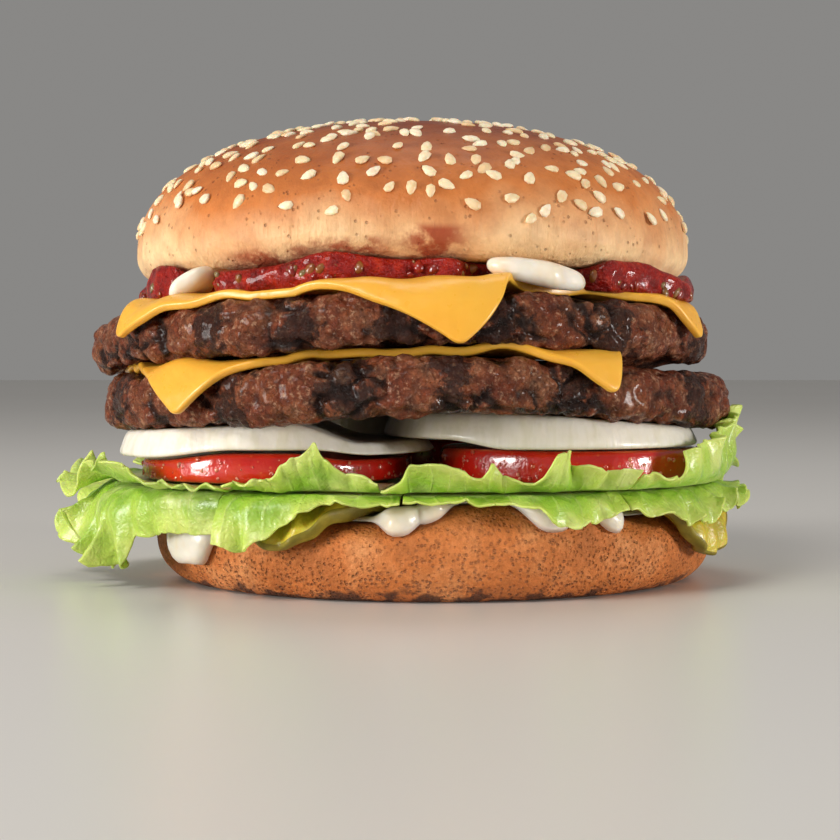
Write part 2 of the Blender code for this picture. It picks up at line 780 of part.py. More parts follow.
def mayo_edge(bearing):
    """How far past the dish the lower mayonnaise runs at a bearing, and how much it bulges."""
    reach, bulge = 0.0, 0.0
    for lobe in MAYO_LOBES:
        share = math.exp(-((turn_between(bearing, lobe.bearing) / lobe.width) ** 3))
        reach = max(reach, lobe.reach * share)
        bulge = max(bulge, lobe.bulge * share)
    return reach, bulge


def mayo_ring(bearing):
    """Section of the mayonnaise at a bearing: out along its top, and back along the bread."""
    reach, bulge = mayo_edge(bearing)
    end = MAYO_REACH + reach
    top_walk = np.array([HEEL_DISH_RADIUS - 1.0, MAYO_RISE_END, *np.linspace(HEEL_CREST_RADIUS, end, 4)])
    share = np.clip((top_walk - HEEL_CREST_RADIUS) / (end - HEEL_CREST_RADIUS), 0.0, 1.0)
    round_end = np.sqrt(np.clip(1 - ((top_walk - end + 2.0) / 2.0).clip(0, 1) ** 2, 0.0, 1.0))
    thick = (MAYO_THICKNESS + bulge * np.sin(np.pi * np.clip(share * 0.85, 0, 1)) ** 0.7) * round_end
    lift = CLEARANCE + MAYO_LIFT * (1 + np.clip((top_walk - HEEL_DISH_RADIUS) / 5.0, 0.0, 1.0))
    lift = lift + MAYO_OVERHANG * reach * np.clip(share * 2.0, 0.0, 1.0)
    top = section_walk(bearing, 0.0, top_walk, lift + thick)
    bottom = section_walk(bearing, 0.0, top_walk[:-1][::-1], lift[:-1][::-1])
    ring = np.concatenate([top, bottom])
    ring[:, 1] = np.minimum(ring[:, 1], MAYO_CEILING)
    return ring


def ring_bearings():
    """The heel's bearings, and one more halfway wherever the sauce's rim changes fast."""
    step = 360.0 / HEEL_STEPS
    bearings = []
    for bearing in np.arange(HEEL_STEPS) * step:
        bearings.append(bearing)
        if abs(mayo_edge(bearing)[0] - mayo_edge(bearing + step)[0]) > MAYO_RING_CHANGE:
            bearings.append(bearing + step / 2)
    return bearings


def fuller_split(a, b, c, d):
    """Two triangles of a four-sided patch, split where it stands farther from the bread."""
    centre = Vector((*HEEL_CENTRE, 0.0))
    if ((a.co + c.co) / 2 - centre).length > ((b.co + d.co) / 2 - centre).length:
        return (a, b, c), (a, c, d)
    return (a, b, d), (b, c, d)


def lower_mayonnaise():
    """A thin bed on the heel whose rim runs down over the bread in rounded lobes."""
    bed = bmesh.new()
    rings = []
    for bearing in ring_bearings():
        points = [
            (*on_bearing(bearing, radius, HEEL_CENTRE), z) for radius, z in mayo_ring(bearing)
        ]
        rings.append([bed.verts.new(point) for point in points])
    middle = [
        bed.verts.new((*HEEL_CENTRE, HEEL_DISH_HEIGHT + CLEARANCE + MAYO_LIFT + thick))
        for thick in (MAYO_THICKNESS, 0.0)
    ]
    for ring, after in zip(rings, rings[1:] + rings[:1]):
        for i in range(len(ring) - 1):
            patch = (ring[i], ring[i + 1], after[i + 1], after[i])
            past_crest = 1 < i < len(ring) - 3
            for face in fuller_split(*patch) if past_crest else (patch,):
                bed.faces.new(face)
        bed.faces.new((middle[0], ring[0], after[0]))
        bed.faces.new((middle[1], after[-1], ring[-1]))
    bmesh.ops.recalc_face_normals(bed, faces=bed.faces)
    mesh = bpy.data.meshes.new("mayonnaise")
    bed.to_mesh(mesh)
    bed.free()
    return add_part("mayonnaise_lower", mesh, "mayonnaise")


def inside_slice(corners, x, y, margin):
    """Whether a point lies on a slice with these corners, or within the margin of it."""
    for (ax, ay), (bx, by) in zip(corners, corners[1:] + corners[:1]):
        side = (bx - ax) * (y - ay) - (by - ay) * (x - ax)
        if side / math.hypot(bx - ax, by - ay) < -margin:
            return False
    return True


def upper_bed(x, y, margin=4.0):
    """Height of what lies under the upper sauces: the cheese, or else the patty."""
    over_patty = upper_patty_top(x, y)
    if inside_slice(UPPER_CHEESE_CORNERS, x, y, margin):
        return over_patty + CLEARANCE + CHEESE_THICKNESS
    return over_patty


def ketchup_outline(bearing):
    """Share of the ketchup's radius at a bearing: squeezed out in waves, held back by the mayo."""
    a = math.radians(bearing)
    waves = 0.022 * math.sin(5 * a + 0.6) + 0.020 * math.sin(9 * a) + 0.012 * math.sin(14 * a + 2.0)
    waves += 0.075 * math.exp(-((turn_between(bearing, -27.0) / 17.0) ** 2))
    hold = 0.0
    for blob in UPPER_MAYO:
        window = turn_between(bearing, blob.bearing) / (blob.width * 1.35)
        hold = max(hold, 0.22 * math.exp(-(window**6)))
    return 1.0 + waves - hold


def ketchup():
    """The layer between the upper cheese and the crown."""
    mesh = slab(
        CROWN_CENTRE, KETCHUP_RADIUS, 1.6,
        lambda x, y: upper_bed(x, y, margin=99.0) + 2 * CLEARANCE,
        lambda x, y: crown_base(x, y) - 2 * CLEARANCE,
        KETCHUP_STEPS, flat_rings=3, edge_points=4, outline=ketchup_outline,
    )
    return add_part("ketchup", mesh, "ketchup")


Blob = namedtuple("Blob", "bearing width radius length depth height")
UPPER_MAYO = (
    Blob(-65.5, 10.0, 57.8, 10.2, 4.6, 3.1),
    Blob(-137.5, 4.0, 57.8, 4.4, 4.4, 2.6),
    Blob(58.0, 8.0, 57.0, 8.0, 4.2, 2.6),
)


def upper_mayonnaise():
    """Blobs that are squeezed out between the crown and the upper patty."""
    for number, blob in enumerate(UPPER_MAYO, start=1):
        shape = bmesh.new()
        bmesh.ops.create_uvsphere(shape, u_segments=12, v_segments=7, radius=1.0)
        centre = Vector((*on_bearing(blob.bearing, blob.radius, CROWN_CENTRE), 0.0))
        turn = Matrix.Rotation(math.radians(blob.bearing), 3, "Z")
        for vertex in shape.verts:
            size = Vector((blob.depth, blob.length, blob.height))
            out, along, up = vertex.co * size
            point = centre + turn @ Vector((out - 0.012 * along * along, along, 0.0))
            floor = upper_bed(point.x, point.y) + CLEARANCE
            ceiling = crown_base(point.x, point.y) - CLEARANCE
            middle = (floor + ceiling) / 2
            point.z = min(max(middle + up, floor), ceiling)
            vertex.co = point
        mesh = bpy.data.meshes.new("blob")
        shape.to_mesh(mesh)
        shape.free()
        add_part(f"mayonnaise_upper_{number}", mesh, "mayonnaise")


# Lettuce


def station_values(leaf, bearing):
    """Hinge, free length, slope and swing of a leaf at a bearing, eased between its stations."""
    for before, after in zip(leaf.stations, leaf.stations[1:]):
        if bearing <= after.bearing or after is leaf.stations[-1]:
            share = smooth((bearing - before.bearing) / (after.bearing - before.bearing))
            return [a + (b - a) * share for a, b in zip(before[1:], after[1:])]


def leaf_point(leaf, u, v):
    """A point of the leaf: u runs along its margin, and v from inside the stack to the margin."""
    first, last = leaf.stations[0].bearing, leaf.stations[-1].bearing
    bearing = first + (last - first) * u
    hinge, length, slope, swing = station_values(leaf, bearing)
    phase = 2 * math.pi * (leaf.ruffles * u + leaf.phase)
    wave = 0.65 * math.sin(phase) + 0.35 * math.sin(2.37 * phase + 1.1)
    aim = math.radians(slope + swing * wave)
    free = max(0.0, (v - 0.3) / 0.7)
    radius = LEAF_INNER_RADIUS + (hinge - LEAF_INNER_RADIUS) * min(1.0, v / 0.3)
    height = leaf.height
    slices = 8
    for i in range(slices):
        bend = aim * smooth((i + 0.5) / slices * free * 1.6)
        radius += length * free / slices * math.cos(bend)
        height += length * free / slices * math.sin(bend)
    x, y = on_bearing(bearing, radius)
    return x, y, height


def lettuce_leaves():
    for name, leaf in LEAVES.items():
        sheet = grid_sheet(leaf.columns, leaf.rows, lambda u, v, leaf=leaf: leaf_point(leaf, u, v))
        add_part(name, solidified(sheet, LEAF_THICKNESS), "lettuce", 60.0)


def main():
    for old in list(bpy.data.objects):
        bpy.data.objects.remove(old)
    bpy.context.scene.collection.children.link(bpy.data.collections.new("Burger"))
    heel_bun()
    lower_mayonnaise()
    for name, pickle in PICKLES.items():
        pickle_slice(name, pickle)
    lettuce_leaves()
    tomato_slices()
    onion_slices()
    patty(
        "patty_lower", LOWER_PATTY_CENTRE, LOWER_PATTY_RADIUS,
        lower_patty_base, lower_patty_top, turn=0.4,
    )
    cheese_slice(
        "cheese_lower", LOWER_CHEESE_CORNERS, LOWER_PATTY_CENTRE, LOWER_PATTY_RADIUS,
        0.4, lower_patty_top,
    )
    patty(
        "patty_upper", UPPER_PATTY_CENTRE, UPPER_PATTY_RADIUS,
        upper_patty_base, upper_patty_top, turn=2.1,
    )
    cheese_slice(
        "cheese_upper", UPPER_CHEESE_CORNERS, UPPER_PATTY_CENTRE, UPPER_PATTY_RADIUS,
        2.1, upper_patty_top, UPPER_CHEESE_PINCH,
    )
    ketchup()
    upper_mayonnaise()
    crown_bun()


main()
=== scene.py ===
"""Looks of a double cheeseburger: its finishes and its finely shaped pieces, laid out as an add-on.

The shape functions work in millimetres and degrees, and make_piece scales a finished mesh to
metres. X runs to the right, Y to the back and Z up. The front faces -Y, so its bearing is -90.
"""

import math
import random
from collections import namedtuple

import bpy
import numpy as np
from bpy.props import FloatProperty, FloatVectorProperty, IntProperty, PointerProperty
from mathutils import Euler, Matrix, Vector, noise


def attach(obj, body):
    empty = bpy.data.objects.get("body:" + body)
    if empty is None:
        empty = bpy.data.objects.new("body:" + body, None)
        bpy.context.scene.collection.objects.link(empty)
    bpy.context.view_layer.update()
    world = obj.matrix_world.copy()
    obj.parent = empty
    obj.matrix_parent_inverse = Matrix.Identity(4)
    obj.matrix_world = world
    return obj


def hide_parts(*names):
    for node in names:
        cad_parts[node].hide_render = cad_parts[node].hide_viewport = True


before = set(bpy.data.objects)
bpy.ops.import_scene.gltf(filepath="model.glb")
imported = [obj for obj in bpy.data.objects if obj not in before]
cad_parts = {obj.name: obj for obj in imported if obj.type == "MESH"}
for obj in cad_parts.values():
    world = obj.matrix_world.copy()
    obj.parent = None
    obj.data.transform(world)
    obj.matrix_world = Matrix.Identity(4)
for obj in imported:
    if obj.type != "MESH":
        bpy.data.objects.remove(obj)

bl_info = {
    "name": "Double cheeseburger",
    "version": (1, 0, 0),
    "blender": (4, 5, 0),
    "location": "3D View > Sidebar > Burger",
    "description": "Builds the finished pieces of a double cheeseburger over its solid frame",
    "category": "Object",
}

MM = 0.001
CLEARANCE = 0.3

# Shapes of the layers in millimetres and degrees, most of them the solids' own
HEEL_CENTRE = (4.0, 0.0)
HEEL_FLAT_RADIUS = 51.0
HEEL_WAIST_HEIGHT = 9.5
HEEL_DISH_HEIGHT = 15.0
HEEL_DISH_RADIUS = 43.0
HEEL_CREST_HEIGHT = 18.4
HEEL_CREST_RADIUS = 51.5
CROWN_CENTRE = (-0.5, 0.0)
CROWN_SIDE_BASE = 60.3
CROWN_MIDDLE_BASE = 64.7
CROWN_WAIST = 6.4
CROWN_FLAT_RADIUS = 50.5
CROWN_POWER = 2.15
LOWER_PATTY_CENTRE = (0.0, 0.0)
UPPER_PATTY_CENTRE = (-2.4, 0.0)
UPPER_PATTY_HEIGHT = 9.7
PATTY_SAG_ON_CHEESE = 0.75
PATTY_SAG_ON_MEAT = 2.4
PATTY_ROOM = 2.8
PATTY_EDGE = 4.8
PATTY_SQUARENESS = 0.72
LOWER_PATTY_TURN = 0.4
UPPER_PATTY_TURN = 2.1
LOWER_CHEESE_CORNERS = ((-49.0, -55.5), (40.0, -58.5), (31.0, 27.0), (-66.0, 20.0))
UPPER_CHEESE_CORNERS = ((-61.0, -40.0), (9.5, -76.0), (60.0, -33.0), (-6.0, 30.0))
UPPER_CHEESE_PINCH = 0.15
CHEESE_SLACK = 0.9
CHEESE_STEEPEST = 80.0
CHEESE_CORNER = 0.05
TOMATO_BASE = 22.0
TOMATO_TOP = 28.3
TOMATO_LEFT_TOP = 27.9
TOMATO_EDGE = 2.0
ONION_BASE = 28.7
ONION_LEFT_BASE = 28.6
ONION_EDGE = 2.2
ONION_SLANT = 0.028
PICKLE_EDGE = 0.6
PICKLE_MIDDLE = 18.1
PRESSED_HALF_WIDTH = 17.5
PRESSED_FADE = 14.0
CRINKLE_PITCH = 5.7
LEAF_INNER_RADIUS = 36.0
LEAF_HELD_SHARE = 0.3
LOBE_PITCH = 8.5
TOOTH_PITCH = 3.1
FRILL_PITCH = 8.2
MAYO_THICKNESS = 0.5
MAYO_LIFT = 0.18
MAYO_REACH = 53.6
MAYO_CEILING = 19.7
MAYO_RISE_END = 48.0
KETCHUP_RADIUS = 57.5

# How the seeds are strewn: the first of them are the ones that the solid crown carries
SOLID_SEED_COUNT = 30
SEED_LOWEST = 1.5
SEED_CROWDING = 1.36
SEED_FADE = 7
SEED_GAP = 1.7
SEED_DRAW = 11

# Fineness of the meshes, and how many small bits are strewn
BUN_STEPS = 300
PATTY_STEPS = 540
SLICE_STEPS = 150
MAYO_STEPS = 360
KETCHUP_STEPS = 420
CHEESE_CELLS = 88
LEAF_SLICES = 48
DROPS_ON_A_TOMATO = 190
RELISH_BITS = 300

Arch = namedtuple("Arch", "level peak centre width fall")
LOWER_PATTY_BASE = Arch(level=34.2, peak=2.2, centre=14.0, width=36.0, fall=0.0006)
LOWER_PATTY_TOP = Arch(level=44.0, peak=2.4, centre=8.0, width=36.0, fall=0.0005)

# A pickle slides over the heel's shoulder, by more at one end of it than at the other
Pickle = namedtuple("Pickle", "bearing reach slide")
PICKLES = {
    "pickle_front": Pickle(-115.5, 46.0, -4.5),
    "pickle_right": Pickle(-28.0, 49.0, 0.5),
    "pickle_back": Pickle(72.0, 47.0, 1.0),
    "pickle_left": Pickle(188.0, 47.0, -1.0),
}

Slice = namedtuple("Slice", "centre radius")
TOMATOES = {
    "tomato_left": Slice((-28.2, -20.0), 27.5),
    "tomato_right": Slice((31.4, -20.0), 26.4),
    "tomato_back": Slice((1.6, 30.0), 25.8),
}
ONIONS = {
    "onion_left": Slice((-28.0, -18.5), 32.5),
    "onion_right": Slice((25.5, -18.5), 32.5),
    "onion_back": Slice((-1.0, 33.0), 22.5),
}

Lobe = namedtuple("Lobe", "bearing width reach bulge")
MAYO_LOBES = (
    Lobe(-144.0, 9.0, 14.0, 2.8),
    Lobe(-96.8, 4.4, 4.6, 3.0),
    Lobe(-90.8, 3.8, 3.2, 2.6),
    Lobe(-67.5, 6.2, 7.5, 2.4),
    Lobe(-55.0, 4.4, 7.0, 2.4),
    Lobe(28.0, 10.0, 5.5, 2.2),
    Lobe(112.0, 11.0, 7.0, 2.4),
    Lobe(148.0, 8.0, 3.5, 1.8),
)

Blob = namedtuple("Blob", "bearing width radius length depth height tilt")
UPPER_MAYO = (
    Blob(-65.5, 10.0, 57.8, 10.2, 4.6, 3.1, -0.10),
    Blob(-137.5, 4.0, 57.8, 4.4, 4.4, 2.6, 0.55),
    Blob(58.0, 8.0, 57.0, 8.0, 4.2, 2.6, 0.0),
)

# Sauce stains on the crown's rim: bearing, half width and how high they climb
CROWN_STAINS = ((-118.0, 12.0, 4.6), (-102.0, 9.0, 5.4), (-86.0, 7.0, 8.0), (-30.0, 16.0, 2.6))

# Charred bands round each patty: bearing and half width
LOWER_CHAR = (
    (-158, 7), (-122, 4.5), (-101, 5), (-84, 3.5), (-61, 4), (-30, 5), (5, 5), (42, 4), (80, 6),
    (118, 4), (150, 5),
)
UPPER_CHAR = (
    (-150, 4), (-124, 4.5), (-107, 4), (-90, 5), (-74, 5), (-52, 5.5), (-20, 5), (12, 4), (50, 5),
    (88, 5), (130, 6), (170, 5),
)

# A leaf is spread between two bearings. Its stations give, along the way, the radius at which it
# comes free of the stack, its free length, the slope and swing of that part and how frilly it is.
Station = namedtuple("Station", "bearing hinge length slope swing frill")
Leaf = namedtuple("Leaf", "height ruffles phase columns rows stations")
LEAVES = {
    "lettuce_left": Leaf(
        20.35, 3.4, 0.15, 280, 60,
        (
            Station(-196.0, 58.0, 9.0, -8.0, 12.0, 0.8),
            Station(-188.0, 59.0, 15.5, -30.0, 10.0, 1.0),
            Station(-179.0, 59.5, 21.5, -52.0, 8.0, 1.0),
            Station(-173.0, 59.5, 16.0, -62.0, 8.0, 1.0),
            Station(-166.0, 59.5, 20.0, -84.0, 8.0, 1.0),
            Station(-160.0, 59.5, 22.0, -92.0, 6.0, 1.0),
            Station(-152.0, 60.0, 20.5, -95.0, 6.0, 1.0),
            Station(-147.5, 61.0, 12.0, -100.0, 4.0, 0.3),
            Station(-136.0, 60.0, 10.5, -105.0, 4.0, 0.1),
            Station(-126.8, 58.5, 10.0, -95.0, 4.0, 0.2),
        ),
    ),
    "lettuce_left_top": Leaf(
        21.35, 4.2, 0.6, 260, 40,
        (
            Station(-192.0, 58.5, 8.0, 5.0, 10.0, 0.8),
            Station(-180.0, 59.0, 14.0, 0.0, 8.0, 1.0),
            Station(-173.0, 59.5, 15.5, -8.0, 6.0, 1.0),
            Station(-167.0, 60.0, 10.5, 24.0, 8.0, 1.0),
            Station(-160.0, 60.5, 9.5, 40.0, 8.0, 1.0),
            Station(-153.0, 61.0, 9.0, 50.0, 6.0, 1.0),
            Station(-146.0, 62.0, 7.5, 48.0, 6.0, 0.8),
            Station(-141.0, 63.0, 5.0, 15.0, 6.0, 0.6),
            Station(-134.0, 62.0, 4.5, 12.0, 6.0, 0.6),
            Station(-125.0, 60.0, 5.0, 15.0, 6.0, 0.6),
        ),
    ),
    "lettuce_front_left": Leaf(
        20.35, 1.6, 0.4, 190, 50,
        (
            Station(-126.2, 58.0, 13.0, -75.0, 4.0, 0.4),
            Station(-121.0, 58.0, 14.5, -82.0, 4.0, 0.4),
            Station(-116.5, 57.5, 12.0, -75.0, 4.0, 0.3),
            Station(-111.0, 57.0, 6.5, -50.0, 4.0, 0.4),
            Station(-105.0, 57.0, 4.5, -28.0, 4.0, 0.5),
            Station(-99.0, 57.0, 4.5, -25.0, 4.0, 0.5),
            Station(-92.6, 57.0, 4.5, -16.0, 4.0, 0.4),
        ),
    ),
    "lettuce_front_left_top": Leaf(
        21.35, 1.4, 0.1, 180, 44,
        (
            Station(-124.4, 60.0, 5.0, 12.0, 4.0, 0.5),
            Station(-117.0, 58.5, 5.0, 30.0, 3.0, 0.5),
            Station(-113.5, 57.0, 7.0, 58.0, 3.0, 0.4),
            Station(-110.3, 56.0, 9.0, 68.0, 2.0, 0.3),
            Station(-107.5, 55.5, 12.2, 74.0, 2.0, 0.2),
            Station(-105.5, 55.5, 9.0, 70.0, 2.0, 0.3),
            Station(-101.8, 56.0, 6.0, 58.0, 3.0, 0.5),
            Station(-96.4, 56.5, 4.5, 30.0, 4.0, 0.5),
        ),
    ),
    "lettuce_front_right": Leaf(
        20.35, 3.4, 0.35, 220, 40,
        (
            Station(-92.0, 57.0, 4.5, -12.0, 4.0, 0.3),
            Station(-82.0, 57.0, 4.0, -14.0, 4.0, 0.5),
            Station(-74.0, 57.0, 4.5, -22.0, 5.0, 0.8),
            Station(-69.5, 59.5, 5.0, -40.0, 4.0, 0.8),
            Station(-65.0, 60.5, 9.0, -60.0, 4.0, 0.7),
            Station(-60.0, 60.0, 8.0, -56.0, 5.0, 0.8),
            Station(-55.0, 58.5, 8.0, -50.0, 4.0, 0.7),
            Station(-50.6, 59.0, 6.0, -40.0, 4.0, 0.7),
        ),
    ),
    "lettuce_front_right_top": Leaf(
        21.35, 4.4, 0.8, 260, 44,
        (
            Station(-95.8, 57.0, 4.0, 15.0, 2.0, 0.3),
            Station(-92.6, 57.0, 5.0, 40.0, 2.0, 0.2),
            Station(-90.3, 56.5, 8.5, 60.0, 2.0, 0.15),
            Station(-85.8, 56.5, 9.5, 60.0, 2.0, 0.1),
            Station(-81.5, 57.0, 8.0, 48.0, 3.0, 0.2),
            Station(-79.5, 57.0, 6.0, 42.0, 4.0, 0.6),
            Station(-77.0, 57.0, 8.5, 52.0, 4.0, 0.8),
            Station(-73.6, 57.5, 5.0, 42.0, 4.0, 0.9),
            Station(-69.0, 58.0, 4.5, 36.0, 4.0, 0.9),
            Station(-66.8, 58.5, 11.0, 68.0, 3.0, 0.8),
            Station(-63.3, 59.0, 11.0, 68.0, 3.0, 0.8),
            Station(-61.5, 59.5, 7.5, 58.0, 3.0, 0.9),
            Station(-59.5, 60.0, 9.0, 60.0, 3.0, 0.9),
            Station(-57.0, 60.5, 6.0, 48.0, 3.0, 0.9),
            Station(-54.5, 61.5, 8.0, 52.0, 3.0, 0.9),
            Station(-51.0, 62.5, 7.5, 50.0, 3.0, 0.9),
        ),
    ),
    "lettuce_right": Leaf(
        20.35, 4.3, 0.1, 260, 44,
        (
            Station(-50.0, 59.0, 6.5, -40.0, 4.0, 0.7),
            Station(-44.0, 60.0, 7.5, -45.0, 5.0, 0.8),
            Station(-37.0, 60.0, 9.5, -55.0, 4.0, 0.8),
            Station(-31.5, 60.0, 10.5, -56.0, 4.0, 0.8),
            Station(-24.0, 60.0, 9.0, -38.0, 6.0, 0.9),
            Station(-10.0, 60.0, 10.0, -26.0, 8.0, 0.9),
            Station(0.0, 60.0, 10.5, -22.0, 8.0, 0.9),
            Station(10.0, 59.5, 9.5, -15.0, 8.0, 0.8),
            Station(19.5, 59.0, 9.0, -10.0, 8.0, 0.8),
        ),
    ),
    "lettuce_right_top": Leaf(
        21.35, 3.9, 0.5, 260, 50,
        (
            Station(-50.4, 62.8, 6.0, 40.0, 3.0, 0.8),
            Station(-42.0, 63.5, 5.0, 34.0, 4.0, 0.8),
            Station(-38.5, 64.3, 9.5, 90.0, 2.0, 0.5),
            Station(-28.0, 64.0, 12.0, 98.0, 3.0, 0.6),
            Station(-19.0, 62.0, 15.5, 95.0, 3.0, 0.6),
            Station(-9.0, 58.2, 20.0, 90.0, 3.0, 0.6),
            Station(-2.0, 58.0, 16.0, 75.0, 6.0, 0.8),
            Station(6.0, 58.0, 12.5, 30.0, 10.0, 0.9),
            Station(19.0, 58.0, 9.0, 15.0, 10.0, 0.8),
        ),
    ),
    "lettuce_back": Leaf(
        20.35, 8.4, 0.3, 420, 36,
        (
            Station(21.0, 59.0, 9.0, -10.0, 12.0, 0.8),
            Station(55.0, 60.0, 13.0, -46.0, 12.0, 1.0),
            Station(90.0, 60.0, 10.0, -24.0, 14.0, 1.0),
            Station(122.0, 60.0, 13.0, -44.0, 12.0, 1.0),
            Station(161.0, 59.0, 8.5, -10.0, 12.0, 0.8),
        ),
    ),
    "lettuce_back_top": Leaf(
        21.35, 9.7, 0.7, 420, 36,
        (
            Station(20.5, 58.5, 8.5, 18.0, 12.0, 0.8),
            Station(66.0, 60.0, 10.0, 36.0, 12.0, 1.0),
            Station(92.0, 60.0, 8.5, 22.0, 14.0, 1.0),
            Station(125.0, 60.0, 11.0, 38.0, 12.0, 1.0),
            Station(161.0, 59.0, 8.0, 14.0, 12.0, 0.8),
        ),
    ),
}


# Sizes and colours that a user would change


def srgb(red, green, blue):
    """A colour given in the 0 to 255 values of a picture, as linear values."""
    values = [channel / 255 for channel in (red, green, blue)]
    return tuple(v / 12.92 if v <= 0.04045 else ((v + 0.055) / 1.055) ** 2.4 for v in values)


def length(name, millimetres, description):
    """A length that a user can change, given in millimetres."""
    return FloatProperty(
        name=name, description=description, default=millimetres * MM, min=0.0, unit="LENGTH",
        precision=5,
    )


def colour(name, red, green, blue, description):
    """A colour that a user can change, given in the 0 to 255 values of a picture."""
    return FloatVectorProperty(
        name=name, description=description, default=srgb(red, green, blue), size=3,
        subtype="COLOR", min=0.0, max=1.0,
    )


class BurgerSizes(bpy.types.PropertyGroup):
    """Lengths of the burger's pieces."""

    crown_radius: length("Crown radius", 58.3, "Radius of the top bun")
    crown_apex: length("Crown apex", 95.3, "Height of the top bun's highest point")
    heel_radius: length("Heel radius", 58.6, "Radius of the bottom bun")
    seed_length: length("Seed length", 3.5, "Length of a sesame seed")
    seed_count: IntProperty(name="Seeds", description="Sesame seeds on the bun", default=420, min=1)
    lower_patty_radius: length("Lower patty radius", 65.0, "Radius of the lower patty")
    upper_patty_radius: length("Upper patty radius", 64.6, "Radius of the upper patty")
    lump_size: length("Lump size", 4.4, "Size of the lumps of minced meat")
    lump_depth: length("Lump depth", 1.35, "Depth of the gaps between the lumps")
    lump_swell: length("Lump swell", 1.15, "How far the lumps swell out at a patty's side")
    cheese_thickness: length("Cheese thickness", 1.7, "Thickness of a slice of cheese")
    pickle_radius: length("Pickle radius", 14.5, "Radius of a slice of pickle")
    pickle_thickness: length("Pickle thickness", 3.0, "Thickness of a slice of pickle")
    crinkle: length("Crinkle height", 0.55, "Half the height of the crinkle cut's wave")
    leaf_thickness: length("Leaf thickness", 0.45, "Thickness of a lettuce leaf")
    drop_radius: length("Drop radius", 0.55, "Radius of the largest water drops")


class BurgerColours(bpy.types.PropertyGroup):
    """Colours of the burger's pieces."""

    crust_top: colour("Crust top", 134, 54, 12, "Crust at the top of the dome")
    crust_side: colour("Crust side", 206, 124, 64, "Crust half way down the dome")
    crust_rim: colour("Crust rim", 250, 212, 160, "Pale crust near the rim")
    heel_crumb: colour("Heel", 210, 120, 52, "Bottom bun")
    sesame: colour("Sesame", 246, 226, 184, "Sesame seeds")
    beef: colour("Beef", 140, 66, 38, "Grilled meat")
    char: colour("Char", 30, 12, 7, "Charred bands of the meat")
    cheese: colour("Cheese", 242, 180, 62, "Processed cheese")
    tomato: colour("Tomato", 206, 28, 14, "Tomato skin")
    onion: colour("Onion", 248, 238, 222, "Onion")
    leaf_edge: colour("Leaf edge", 200, 222, 92, "Lettuce near its margin")
    leaf_middle: colour("Leaf middle", 138, 180, 50, "Lettuce half way in")
    leaf_rib: colour("Leaf rib", 222, 230, 160, "Lettuce near its rib")
    pickle_skin: colour("Pickle skin", 132, 118, 34, "Rim of the pickles")
    pickle_flesh: colour("Pickle flesh", 206, 186, 46, "Cut face of the pickles")
    mayonnaise: colour("Mayonnaise", 236, 228, 214, "Mayonnaise")
    ketchup: colour("Ketchup", 150, 16, 5, "Ketchup")


def sizes():
    return bpy.context.scene.burger_sizes


def colours():
    return bpy.context.scene.burger_colours


def in_mm(value):
    return value / MM


# Shape helpers


def smooth(value):
    """0 below 0, 1 above 1, and an S-shaped rise between."""
    t = np.clip(value, 0.0, 1.0)
    return t * t * (3 - 2 * t)


def arch_height(arch, x):
    """Height of a layer that is bent over what lies under it."""
    hump = arch.peak * np.exp(-(((x - arch.centre) / arch.width) ** 2))
    return arch.level + hump - arch.fall * x * x


def on_bearing(bearing, radius, centre=(0.0, 0.0)):
    """The point at a bearing and a radius from a centre."""
    angle = np.radians(bearing)
    return centre[0] + radius * np.cos(angle), centre[1] + radius * np.sin(angle)


def turn_between(bearing, other):
    """Unsigned angle between two bearings."""
    return np.abs((bearing - other + 180.0) % 360.0 - 180.0)


def noise_over(points, size, draw=0.0):
    """Smooth noise from about -1 to 1 at each point, with features of the given size."""
    shift = Vector((draw * 17.3, draw * 5.1, draw * 11.7))
    return np.array([noise.noise(Vector(point) / size + shift) for point in points.tolist()])


def ring_faces(rings, steps, first):
    """Quads between rings of points that close round, as rows of point numbers."""
    rows = np.arange(rings - 1)[:, None] * steps + first
    column = np.arange(steps)[None, :]
    after = (column + 1) % steps
    quads = np.stack([rows + column, rows + steps + column, rows + steps + after, rows + after], -1)
    return quads.reshape(-1, 4).tolist()


def closed_rings(rings):
    """Faces of a body made of rings, with its first and last points as the two poles."""
    count, steps = rings
    faces = ring_faces(count, steps, 1)
    last = count * steps + 1
    for k in range(steps):
        after = (k + 1) % steps
        faces.append([0, 1 + k, 1 + after])
        faces.append([last, last - steps + after, last - steps + k])
    return faces


def turned(profile, steps):
    """Points of a body turned about Z from (radius, height) rows that run from top to bottom."""
    inner = profile[1:-1]
    angles = np.linspace(math.pi / 2, math.pi * 2.5, steps, endpoint=False)
    x = inner[:, :1] * np.cos(angles)
    y = inner[:, :1] * np.sin(angles)
    z = np.repeat(inner[:, 1:], steps, axis=1)
    body = np.stack([x, y, z], axis=-1).reshape(-1, 3)
    poles = [[0.0, 0.0, profile[0, 1]]], [[0.0, 0.0, profile[-1, 1]]]
    return np.concatenate([poles[0], body, poles[1]]), closed_rings((len(inner), steps))


def mesh_of(name, points, faces):
    """A mesh of these points and faces."""
    mesh = bpy.data.meshes.new(name)
    mesh.from_pydata(np.asarray(points).tolist(), [], faces)
    mesh.update()
    return mesh


def held_mesh(mesh, add_modifiers):
    """A copy of the mesh with its modifiers applied."""
    holder = bpy.data.objects.new("holder", mesh)
    bpy.context.scene.collection.objects.link(holder)
    add_modifiers(holder)
    graph = bpy.context.evaluated_depsgraph_get()
    result = bpy.data.meshes.new_from_object(holder.evaluated_get(graph))
    bpy.data.objects.remove(holder)
    return result


